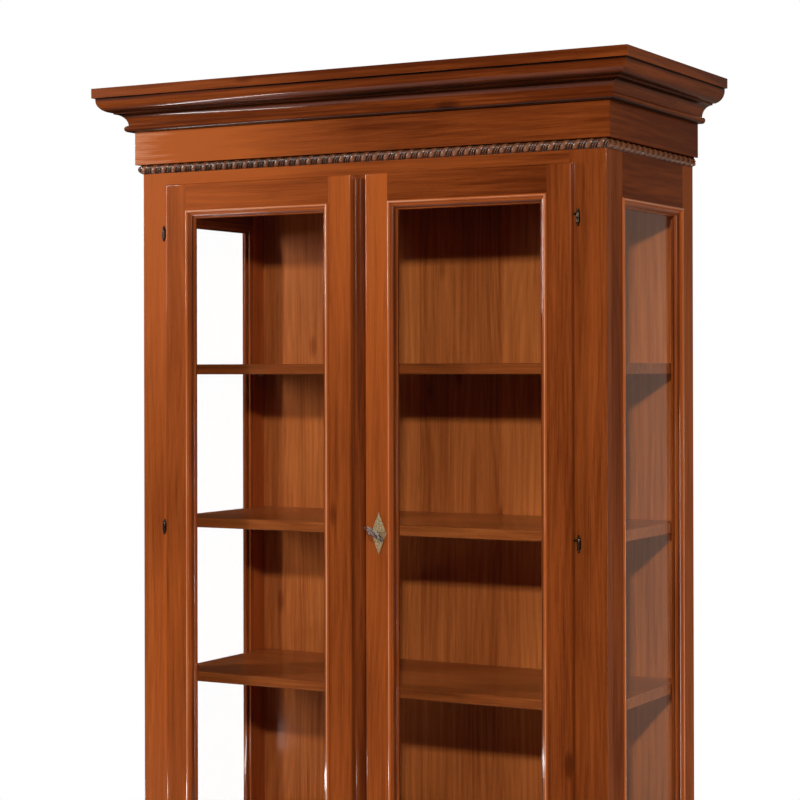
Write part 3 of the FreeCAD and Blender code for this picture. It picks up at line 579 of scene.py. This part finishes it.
# Tones here are partly each plank's own and partly painted light: pieces on the left and the meeting stiles
# are lighter and those on the right darker, as the lamps fall off, and the falloffs paint them lighter
# towards the better lit ends, such as the left of the top rail and the tops of the meeting stiles. The
# astragal and the shelves are darker.
FINISHES_AND_SHADING = {
    "astragal": Finish(-0.3, 0.3),
    "left_post": Finish(0.13, fades=(0.33, 0.35)),
    "right_post": Finish(-0.1),
    "face_top_rail": Finish(0.08, fades=(0.9, -0.1)),
    "left_door_hinge_stile": Finish(0.03, fades=(0.3, 0.32)),
    "left_door_meeting_stile": Finish(0.12, fades=(0, 0.45)),
    "left_door_top_rail": Finish(0.15, fades=(0.1, -0.2)),
    "right_door_hinge_stile": Finish(-0.1),
    "right_door_meeting_stile": Finish(0.2, fades=(0.05, 0.4)),
    "right_door_top_rail": Finish(-0.08, fades=(0.1, -0.15)),
    "lower_shelf": Finish(-0.3, 4.5),
    "middle_shelf": Finish(-0.3, 4.5),
    "upper_shelf": Finish(-0.5, 4.5),
}
# Painted light and shade on the sides: the rear stile is lighter, as a painted sheen, and the top rail
# darker, as painted shade
SIDE_TONES = {"front_stile": 0.0, "rear_stile": 0.12, "top_rail": -0.36, "bottom_rail": 0.0}
SIDE_LACQUER = 0.36
for side in ("left_side", "right_side"):
    for board, tone in SIDE_TONES.items():
        FINISHES_AND_SHADING[f"{side}_{board}"] = Finish(tone, SIDE_LACQUER)
MADE_IN_LENGTHS = ("_moulding", "_beads", "back_boards", "frieze", "plinth")
SOLID_BOARDS = [node for node, slot in SLOT_OF.items()
                if slot.endswith("_wood") and not node.endswith(MADE_IN_LENGTHS)]
for node in SOLID_BOARDS:
    low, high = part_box(node)
    extent = list(high - low)
    board = from_solid(node, ARRIS)
    lay_grain(board, extent.index(max(extent)), FINISHES_AND_SHADING.get(node, PLAIN))
    dress(board, node)

# Crown, frieze, base moulding and plinth

crown_outline = (
    millimetres((-20, 0), (21.5, 0)) + arc((21.5 * MM, 0), (21.5 * MM, 13.5 * MM), 180, 10)
    + arc((21.5 * MM, 13.5 * MM), (44 * MM, 36.5 * MM), -90, 10) + millimetres((44, 39.5), (49, 39.5))
    + arc((49 * MM, 39.5 * MM), (70 * MM, 68 * MM), 90, 10) + millimetres((76, 68), (76, 88), (-20, 88))
)
base_outline = (
    millimetres((0, 0), (18, 0), (18, 14)) + arc((18 * MM, 14 * MM), (7 * MM, 34 * MM), -90, 10)
    + millimetres((7, 39), (0, 39))
)


def rectangle(inner, outer, height):
    """The outline of a plain board that stands on its lower face."""
    return [(inner, 0), (outer, 0), (outer, height), (inner, height)]


def moulded(outline, arris, front=PLAIN, side=PLAIN):
    """A maker of lengths that gives the front one finish and the sides another."""
    def make(name, length, flares):
        look = front if name.endswith("front") else side
        return stick(name, outline, length, flares, arris, look)

    return make


# Painted shade in the crown's section: under and above the bead, in the cove, under the ovolo, in the quirk
# under the fascia and lightly along the fascia's top; the front also fades a little lighter towards the
# left as painted light
CROWN_PAINTED_SHADING = (
    (22, 0, 9, 1.1), (22, 14, 3, 0.5), (38, 36, 14, 1.1),
    (53, 42, 12, 0.8), (70, 68, 5, 1.2), (76, 84, 15, 0.3),
)
crown_front = Finish(-0.25, 1.6, (-0.1, 0.1), CROWN_PAINTED_SHADING)
crown_side = Finish(-0.25, 0.72, recesses=CROWN_PAINTED_SHADING)
crown_lengths = moulded(crown_outline, MOULDING_ARRIS, crown_front, crown_side)
crown = three_sides("crown_moulding", crown_lengths, CARCASS_TOP)
dress(crown, "crown_moulding")

frieze_low, frieze_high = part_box("frieze")
frieze_outline = rectangle(0, FRIEZE_THICKNESS, frieze_high.z - frieze_low.z)
# Painted light on the frieze: its front grows much lighter towards the left end and a little darker towards
# the right, and its sides are darker
frieze_front, frieze_side = Finish(-0.22, fades=(-0.36, 1.15)), Finish(-0.52, SIDE_LACQUER)
frieze = three_sides("frieze", moulded(frieze_outline, ARRIS, frieze_front, frieze_side), frieze_low.z)
dress(frieze, "frieze")

base_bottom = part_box("base_moulding")[0].z
base = three_sides("base_moulding", moulded(base_outline, MOULDING_ARRIS), base_bottom)
dress(base, "base_moulding")

plinth_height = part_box("plinth")[1].z
plinth_outline = rectangle(PLINTH_PROUD - PLINTH_THICKNESS, PLINTH_PROUD, plinth_height)
plinth = three_sides("plinth_runs", moulded(plinth_outline, ARRIS), 0)
plinth_inside = HALF_WIDTH + PLINTH_PROUD - PLINTH_THICKNESS
plinth_back_outline = rectangle(-PLINTH_THICKNESS, 0, plinth_height)
plinth_back = stick("plinth_back", plinth_back_outline, 2 * plinth_inside, (0, 0), ARRIS)
settle(plinth_back, (plinth_inside, BACK_Y, 0), -X, Y, Z)
plinth = joined("plinth_finished", [plinth, plinth_back])
dress(plinth, "plinth")

# Back boards

back_low, back_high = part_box("back_boards")
BACK_BOARDS = 5
plank_width = (back_high.x - back_low.x) / BACK_BOARDS
plank_outline = rectangle(0, plank_width, back_high.y - back_low.y)
plank_length = back_high.z - back_low.z
planks = []
for index in range(BACK_BOARDS):
    plank = stick(f"back_board_{index}", plank_outline, plank_length, (0, 0), BACK_BOARD_ARRIS)
    settle(plank, (back_low.x + plank_width * index, back_low.y, back_low.z), Z, X, Y)
    planks.append(plank)
dress(joined("back_boards_finished", planks), "back_boards")

# Glazing: mouldings in front of the panes and beads behind them

glazing_outline = (
    millimetres((0, -15), (18, -15), (18, -11), (16, -11))
    + arc((16 * MM, -11 * MM), (7 * MM, -1.5 * MM), 90, 8) + millimetres((7, 0))
    + arc((7 * MM, 0), (0, 0), 180, 10)[:-1] + millimetres((0, 0))
)
# A painted highlight along the bead's crest, and painted shade in the cove, at the fillet by the pane and
# in the quirk beside the bead
GLAZING_PAINTED_SHADING = ((3.5, 3.5, 3, -1.0), (12, -6, 6, 1.6), (18, -13, 5, 1.3), (7, -1, 2, 0.6))
GLAZING = Finish(0.6, 2.2, recesses=GLAZING_PAINTED_SHADING)


def glaze(opening, size, facing, face_corner, bead_corner, bead_thickness):
    """Dresses an opening with its moulding in front of the pane and its beads behind it."""
    node = f"{opening}_moulding"
    dress(round_opening(node, glazing_outline, face_corner, *size, *facing, GLAZING), node)
    node = f"{opening}_beads"
    bead_outline = rectangle(0, BEAD_WIDTH, bead_thickness)
    dress(round_opening(node, bead_outline, bead_corner, *size, *facing), node)


for door in ("left_door", "right_door"):
    low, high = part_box(f"{door}_moulding")
    bead_low, bead_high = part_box(f"{door}_beads")
    face_corner = (low.x, low.y + GLAZING_BEAD / 2, low.z)
    bead_corner = (low.x, bead_high.y, low.z)
    size = (high.x - low.x, high.z - low.z)
    glaze(door, size, (X, -Y), face_corner, bead_corner, bead_high.y - bead_low.y)
for side, out in (("left_side", -X), ("right_side", X)):
    low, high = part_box(f"{side}_moulding")
    bead_low, bead_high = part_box(f"{side}_beads")
    across = out.cross(Z) * -1
    first_y = low.y if across.y > 0 else high.y
    inner_x = bead_low.x if out.x > 0 else bead_high.x
    face_corner = (out.x * HALF_WIDTH, first_y, low.z)
    bead_corner = (inner_x, first_y, low.z)
    size = (high.y - low.y, high.z - low.z)
    glaze(side, size, (across, out), face_corner, bead_corner, bead_high.x - bead_low.x)
for node, slot in SLOT_OF.items():
    if slot == "clear_glass":
        coat(frame["nodes"][node], slot)

# Rope moulding

rope_low, rope_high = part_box("rope_moulding")
ROPE_RADIUS = (rope_high.z - rope_low.z) / 2


def strand_rise(phase):
    """How far the carved surface stands out as a share of the rope's radius, and how near a crest it is."""
    for share, rise in ROPE_STRANDS:
        if phase < share:
            break
        phase -= share
    across = min(1, 2 * phase / share - 1)
    round_top = math.sqrt(max(0, 1 - across ** 2)) if rise else 0
    return ROPE_CORE + rise * round_top, round_top


def rope_length(name, length, flares):
    """A half-round bar carved into strands that lean back along it, with a flat back."""
    spare = 2 * ROPE_PITCH
    whole = length + 2 * spare
    bpy.ops.object.select_all(action="DESELECT")
    bpy.ops.mesh.primitive_grid_add(
        x_subdivisions=round(whole / ROPE_PITCH * ROPE_STEPS), y_subdivisions=ROPE_SEGMENTS + 3, size=2)
    piece = bpy.context.object
    piece.name = name
    tones = []
    for vertex in piece.data.vertices:
        along = (vertex.co.x + 1) / 2 * whole - spare
        row = round((vertex.co.y + 1) / 2 * (ROPE_SEGMENTS + 3))
        if row == 0 or row > ROPE_SEGMENTS + 1:
            edge = 1 if row == ROPE_SEGMENTS + 2 else -1
            vertex.co = (along, 0, ROPE_RADIUS * edge)
            tones.append(GROOVE_PAINTED_SHADE)
            continue
        angle = math.pi * ((row - 1) / ROPE_SEGMENTS - 0.5)
        reach, near_crest = strand_rise((along / ROPE_PITCH + ROPE_LEAN * angle / math.pi) % 1)
        out = ROPE_RIM + (ROPE_RADIUS - ROPE_RIM) * math.cos(angle) * reach
        vertex.co = (along, out, ROPE_RADIUS * math.sin(angle) * reach)
        # Painted shade in the grooves, rising to painted light on the crests
        tones.append(GROOVE_PAINTED_SHADE + (CREST_PAINTED_LIGHT - GROOVE_PAINTED_SHADE) * near_crest ** TONE_RISE)
    lay_grain(piece, 0)
    piece.data.attributes["tone"].data.foreach_set("value", tones)
    open_mesh(piece)
    bpy.ops.mesh.remove_doubles(threshold=MERGE)
    close_mesh()
    cut_ends(piece, length, *flares)
    only(piece)
    bpy.ops.object.shade_smooth_by_angle(angle=ROPE_SHARP)
    piece.data.transform(Matrix.Translation((0, 0, ROPE_RADIUS)))
    return piece


rope = three_sides("rope_moulding", rope_length, rope_low.z)
dress(rope, "rope_moulding")

# Turned and cast fittings

def ball(radius, height, first, last, steps=6):
    """Points of a ball's profile in millimetres, between two angles from its top."""
    angles = [math.radians(first + (last - first) * step / steps) for step in range(steps + 1)]
    return [(radius * math.sin(angle), height + radius * math.cos(angle)) for angle in angles]


def turned(name, profile, segments=28):
    """A form turned about Z, from radii and heights in millimetres, listed from the top to the bottom."""
    bands = len(profile) - 1
    bpy.ops.object.select_all(action="DESELECT")
    bpy.ops.mesh.primitive_uv_sphere_add(segments=segments, ring_count=bands, radius=1)
    piece = bpy.context.object
    piece.name = name
    for vertex in piece.data.vertices:
        band = round(math.acos(max(-1, min(1, vertex.co.z))) / math.pi * bands)
        radius, height = profile[band]
        spoke = Vector((vertex.co.x, vertex.co.y, 0))
        if spoke.length > 0:
            spoke.normalize()
        vertex.co = (spoke * radius + Z * height) * MM
    only(piece)
    bpy.ops.object.shade_smooth_by_angle(angle=SHARP)
    return piece


def rod(name, start, end, radius):
    """A round bar between two points."""
    start, end = Vector(start), Vector(end)
    bpy.ops.object.select_all(action="DESELECT")
    bpy.ops.mesh.primitive_cylinder_add(vertices=20, radius=radius, depth=(end - start).length)
    piece = bpy.context.object
    piece.name = name
    turn = (end - start).to_track_quat("Z", "Y").to_matrix().to_4x4()
    piece.data.transform(Matrix.Translation((start + end) / 2) @ turn)
    return piece


def combined(piece, other, operation):
    """Adds a form to a piece, or cuts it out of the piece, and removes the form."""
    shaped(piece, "BOOLEAN", operation=operation, solver="EXACT", object=other)
    bpy.data.objects.remove(other)


# Hinges: the door's half turns on the pin of the post's half
DOOR_HALF = (
    [(0, 16)] + ball(3, 13, 20, 140) + [(2.2, 10.4), (3.2, 9.9), (3.5, 9.4), (3.2, 8.9), (3.3, 8.5)]
    + [(3.7, 5), (3.7, 2), (4, 1.6), (4, 0.3), (1.85, 0.3), (1.85, 10.05), (0, 10.05)]
)
POST_HALF = (
    [(0, -10), (1.8, -10), (1.8, 0), (4, 0), (4, -1.2), (3.75, -1.7), (3.95, -5.5), (3.7, -9)]
    + [(3.2, -9.4), (3.5, -10), (3.2, -10.6), (2.2, -11)] + ball(2.6, -13.2, 45, 160) + [(0, -15.8)]
)

# Each half has a shank that is driven into the wood
SHANK_RADIUS, SHANK_START, SHANK_SUNK = 1.95 * MM, 2.7 * MM, 9 * MM
HINGE_HALF_HEIGHT = 13 * MM
PIN_REACH = 10 * MM
hinge_joints = {joint["child"]: joint["pos_m"] for joint in frame["record"]["behaviour"]["joints"]
                if joint["child"] in ("left_door", "right_door")}
pin_low, pin_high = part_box("hinge_pins")
hinge_heights = (pin_low.z + PIN_REACH, (pin_low.z + pin_high.z) / 2, pin_high.z - PIN_REACH)
post_halves = []
for side, inward in (("left", X), ("right", -X)):
    hinge_x, hinge_y = hinge_joints[f"{side}_door"][:2]
    stile_low, stile_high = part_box(f"{side}_door_hinge_stile")
    door_gap = min(abs(hinge_x - stile_low.x), abs(hinge_x - stile_high.x))
    door_halves = []
    for index, height in enumerate(hinge_heights):
        axis = Vector((hinge_x, hinge_y, height))
        for profile, out, reach, up, halves in (
            (DOOR_HALF, inward, door_gap + SHANK_SUNK, HINGE_HALF_HEIGHT / 2, door_halves),
            (POST_HALF, Y, FRONT_Y + SHANK_SUNK - hinge_y, -HINGE_HALF_HEIGHT / 2, post_halves),
        ):
            half = turned(f"{side}_hinge_{index}", profile)
            half.data.transform(Matrix.Translation(axis))
            root = axis + Z * up
            shank = rod("hinge_shank", root + out * SHANK_START, root + out * reach, SHANK_RADIUS)
            combined(half, shank, "UNION")
            halves.append(half)
    node = f"{side}_hinge_door_halves"
    dress(joined(f"{node}_finished", door_halves), node)
dress(joined("hinge_post_halves_finished", post_halves), "hinge_post_halves")

# Lock plate: a lozenge with a raised rim and a keyhole
PLATE_RIM, PLATE_SUNK = 1.6 * MM, 0.5 * MM
KEYHOLE_RADIUS, KEYHOLE_REACH = 3.2 * MM, 10 * MM
plate_low, plate_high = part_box("escutcheon")
lock = Vector(((plate_low.x + plate_high.x) / 2, plate_high.y, (plate_low.z + plate_high.z) / 2))
bpy.ops.object.select_all(action="DESELECT")
bpy.ops.mesh.primitive_circle_add(vertices=4, radius=1, fill_type="NGON")
plate = bpy.context.object
plate.name = "escutcheon_finished"
corners = ((plate_high.x, lock.z), (lock.x, plate_high.z), (plate_low.x, lock.z), (lock.x, plate_low.z))
for vertex, (x, z) in zip(plate.data.vertices, corners):
    vertex.co = (x, plate_high.y, z)
open_mesh(plate)
bpy.ops.mesh.extrude_region_move(TRANSFORM_OT_translate={"value": (0, plate_low.y - plate_high.y, 0)})
bpy.ops.mesh.inset(thickness=PLATE_RIM)
bpy.ops.transform.translate(value=(0, PLATE_SUNK, 0))
bpy.ops.mesh.select_all(action="SELECT")
bpy.ops.mesh.normals_make_consistent(inside=False)
close_mesh()
keyhole = rod("keyhole", lock - Y * KEYHOLE_REACH, lock + Y * KEYHOLE_REACH, KEYHOLE_RADIUS)
combined(plate, keyhole, "DIFFERENCE")
soften(plate, PLATE_ARRIS)
dress(plate, "escutcheon")

# Key: scrolls on both sides of a stem, with a round shaft and a bit
BOW_TILT = math.radians(35)
BOW_REACH, BOW_VOXEL = 31 * MM, 0.4 * MM
SHAFT_OVERLAP = 1.5 * MM
BIT_SIZE = Vector((3, 6, 9)) * MM
STEM = [(0, -1), (0, 8), (0, 16), (0, 23)]
CREST = [(-9, 22), (-7, 26), (-3.5, 28.6), (0, 29.4), (3.5, 28.6), (7, 26), (9, 22)]
RIM_BEAD, TOP_BEAD = (23.3, 15), (0, 29)
SCROLL_EASE = 0.8


def scroll(centre, radius, end_radius, first, sweep, steps=26):
    """Points of a spiral that winds inwards from its first angle, in degrees."""
    points = []
    for step in range(steps + 1):
        share = step / steps
        angle = math.radians(first + sweep * share)
        reach = radius + (end_radius - radius) * share ** SCROLL_EASE
        points.append((centre[0] + reach * math.cos(angle), centre[1] + reach * math.sin(angle)))
    return points


def mirrored_points(points):
    """The same points on the other side of the stem."""
    return [(-across, along) for across, along in points]


def wire(name, points, thick, thin, sides=10):
    """A round wire along points in millimetres, tapering from thick to thin, in the plane of X and Y."""
    bpy.ops.object.select_all(action="DESELECT")
    last = len(points) - 1
    bpy.ops.mesh.primitive_grid_add(x_subdivisions=last, y_subdivisions=sides, size=2)
    piece = bpy.context.object
    piece.name = name
    for vertex in piece.data.vertices:
        step = round((vertex.co.x + 1) / 2 * last)
        turn = (vertex.co.y + 1) * math.pi
        along = Vector(points[min(step + 1, last)]) - Vector(points[max(step - 1, 0)])
        across = Vector((-along.y, along.x)).normalized()
        radius = thick + (thin - thick) * step / last
        middle = Vector(points[step]) + across * (radius * math.cos(turn))
        vertex.co = Vector((middle.x, middle.y, radius * math.sin(turn))) * MM
    open_mesh(piece)
    bpy.ops.mesh.remove_doubles(threshold=MERGE)
    bpy.ops.mesh.fill_holes(sides=0)
    bpy.ops.mesh.normals_make_consistent(inside=False)
    close_mesh()
    return piece


def bead(place, radius):
    """A small ball at a point of the bow, in millimetres."""
    bpy.ops.object.select_all(action="DESELECT")
    bpy.ops.mesh.primitive_uv_sphere_add(segments=16, ring_count=10, radius=radius * MM)
    piece = bpy.context.object
    piece.data.transform(Matrix.Translation(Vector((*place, 0)) * MM))
    return piece


# Wires are given by their radius at both ends, in millimetres
outer = [(0, 0.5), (4.5, 2.2)] + scroll((14, 15.2), 11.5, 2.2, -115, 520, 40)
inner = [(0, 10), (1.6, 11)] + scroll((4.6, 16.6), 4.4, 1.4, -110, 430)
parts = [wire("key_stem", STEM, 2.2, 1.5), wire("key_crest", CREST, 1.4, 1.4)]
for turn_over in (list, mirrored_points):
    parts.append(wire("key_scroll", turn_over(outer), 1.8, 1.1))
    parts.append(wire("key_curl", turn_over(inner), 1.3, 0.9))
    for place, radius in zip(turn_over([outer[-1], inner[-1], RIM_BEAD]), (2.1, 1.4, 1.9)):
        parts.append(bead(place, radius))
parts.append(bead(TOP_BEAD, 2))
bow = joined("key_bow", parts)
shaped(bow, "REMESH", mode="VOXEL", voxel_size=BOW_VOXEL, use_smooth_shade=True)
shaped(bow, "SMOOTH", factor=0.5, iterations=2)
key_low, key_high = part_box("key")
key_bow_y = key_low.y + BOW_REACH
bow_across = Vector((math.cos(BOW_TILT), 0, -math.sin(BOW_TILT)))
settle(bow, (lock.x, key_bow_y, lock.z), bow_across, -Y, bow_across.cross(-Y))
SHAFT = (
    [(0, 0.6), (2.5, 0.6), (2.5, -0.4), (3.6, -0.8), (4, -1.6), (3.6, -2.4), (2.7, -2.8), (2.7, -3.2)]
    + [(2.5, -3.6), (2.5, -30), (2.2, -30.6), (0, -30.6)]
)
shaft_length = key_high.y - key_bow_y + SHAFT_OVERLAP
shaft_profile = [(radius, max(height, -shaft_length / MM)) for radius, height in SHAFT]
shaft = turned("key_shaft", shaft_profile)
settle(shaft, (lock.x, key_bow_y - SHAFT_OVERLAP, lock.z), X, Z, -Y)
bolt_low, bolt_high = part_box("lock_bolt")
bpy.ops.object.select_all(action="DESELECT")
bpy.ops.mesh.primitive_cube_add(size=1)
bit = bpy.context.object
bit_place = Vector((lock.x, (bolt_low.y + bolt_high.y) / 2, lock.z - BIT_SIZE.z / 2))
bit.data.transform(Matrix.Translation(bit_place) @ Matrix.Diagonal((*BIT_SIZE, 1)))
soften(bit, METAL_ARRIS)
dress(joined("key_finished", [bow, shaft, bit]), "key")

# Other fittings keep their solids' shape, with softened arrises

MODELLED = ("hinge_post_halves", "left_hinge_door_halves", "right_hinge_door_halves", "escutcheon", "key")
for node, slot in SLOT_OF.items():
    if slot.endswith(("_brass", "_steel", "_bronze")) and node not in MODELLED:
        dress(from_solid(node, METAL_ARRIS), node)

# Stage: floor, world, lamps and camera

FLOOR_RADIUS = 1.6
scene = bpy.context.scene
scene.view_settings.view_transform = "Standard"

bpy.ops.object.select_all(action="DESELECT")
bpy.ops.mesh.primitive_circle_add(vertices=96, radius=FLOOR_RADIUS, fill_type="NGON", location=(0, 0, 0))
floor = bpy.context.object
floor.name = "floor"
floor_paint, _, floor_shader = new_material("floor_paint")
floor_shader.inputs["Base Color"].default_value = (0.86, 0.86, 0.86, 1)
floor_shader.inputs["Roughness"].default_value = 0.7
floor.data.materials.append(floor_paint)

# The background is white to the eye, straight or through the panes. Surfaces mirror a dim studio with that
# background behind the object.
AMBIENT = 0.006
THROUGH_GLASS = 1.2
STUDIO_GLOSS, BACKGROUND_GLOSS = 0.03, 0.42
WARM_WALLS = (1, 0.5, 0.28, 1)
PALE_BACKDROP = 0.8
BACKDROP_EDGE = (0.8, 0.95)
world = bpy.data.worlds.new("studio")
scene.world = world
world.use_nodes = True
sky = world.node_tree
path = add(sky, "ShaderNodeLightPath")
facing = add(sky, "ShaderNodeTexCoord")
direction = add(sky, "ShaderNodeSeparateXYZ")
sky.links.new(facing.outputs["Generated"], direction.inputs[0])
backdrop = ranged(sky, direction.outputs["Y"], *BACKDROP_EDGE)
gloss = calc(sky, "MULTIPLY_ADD", backdrop, BACKGROUND_GLOSS - STUDIO_GLOSS, STUDIO_GLOSS)
mirrored = calc(sky, "MULTIPLY", path.outputs["Is Glossy Ray"], gloss)
bounces = calc(sky, "ADD", path.outputs["Glossy Depth"], path.outputs["Diffuse Depth"])
unbounced = calc(sky, "LESS_THAN", bounces, 0.5)
through = calc(sky, "MULTIPLY", path.outputs["Is Transmission Ray"], unbounced)
through = calc(sky, "MULTIPLY", through, THROUGH_GLASS)
strength = AMBIENT
for part in (mirrored, through, path.outputs["Is Camera Ray"]):
    strength = calc(sky, "MAXIMUM", part, strength)
sky.links.new(strength, sky.nodes["Background"].inputs["Strength"])
white = calc(sky, "MULTIPLY", mirrored, PALE_BACKDROP)
for part in (path.outputs["Is Camera Ray"], calc(sky, "GREATER_THAN", through, 0.5)):
    white = calc(sky, "MAXIMUM", part, white)
sky.links.new(mixed(sky, white, WARM_WALLS, (1, 1, 1, 1)), sky.nodes["Background"].inputs["Color"])


def soft_box(name, place, target, size, power):
    """A rectangular lamp at a place, turned to a target."""
    lamp = bpy.data.lights.new(name, "AREA")
    lamp.shape = "RECTANGLE"
    lamp.size, lamp.size_y = size
    lamp.energy = power
    holder = bpy.data.objects.new(name, lamp)
    scene.collection.objects.link(holder)
    holder.location = place
    holder.rotation_euler = (Vector(target) - Vector(place)).to_track_quat("-Z", "Y").to_euler()


# A small lamp from the front right, two soft ones from the left, one past the right side and one behind
soft_box("key_lamp", (1.9, -3.4, 2.15), (0, 0, 1.1), (0.16, 0.16), 86)
soft_box("left_soft_box", (-2.1, -1.45, 1.9), (-0.3, -0.1, 1.4), (0.2, 1.0), 27)
soft_box("low_strip", (-1.5, -0.65, 0.1), (-0.3, -0.3, 1.75), (1.0, 0.06), 5)
soft_box("right_strip", (2.6, 0.35, 0.4), (0.5, 0, 0.6), (0.3, 1.4), 15)
soft_box("back_lamp", (0, 3.2, 2.2), (0, 0.25, 0.9), (0.8, 0.8), 40)

# Camera: fitted to the photograph's straight edges
CAMERA_PLACE = (2.0723, -3.5916, 1.2190)
CAMERA_TURN, CAMERA_PITCH, CAMERA_ROLL = 27.871, 0.124, -0.139
FOCAL_PIXELS, IMAGE_PIXELS = 2028.3, 800
SENSOR_WIDTH = 36
CENTRE_RIGHT, CENTRE_UP = 80, 36.4
camera = bpy.data.cameras.new("camera")
camera.sensor_width = SENSOR_WIDTH
camera.lens = FOCAL_PIXELS / IMAGE_PIXELS * SENSOR_WIDTH
camera.shift_x = -CENTRE_RIGHT / IMAGE_PIXELS
camera.shift_y = -CENTRE_UP / IMAGE_PIXELS
holder = bpy.data.objects.new("camera", camera)
scene.collection.objects.link(holder)
holder.location = CAMERA_PLACE
upright = Euler((math.radians(90 + CAMERA_PITCH), 0, math.radians(CAMERA_TURN))).to_matrix()
holder.rotation_euler = (upright @ Matrix.Rotation(math.radians(CAMERA_ROLL), 3, "Z")).to_euler()
scene.camera = holder
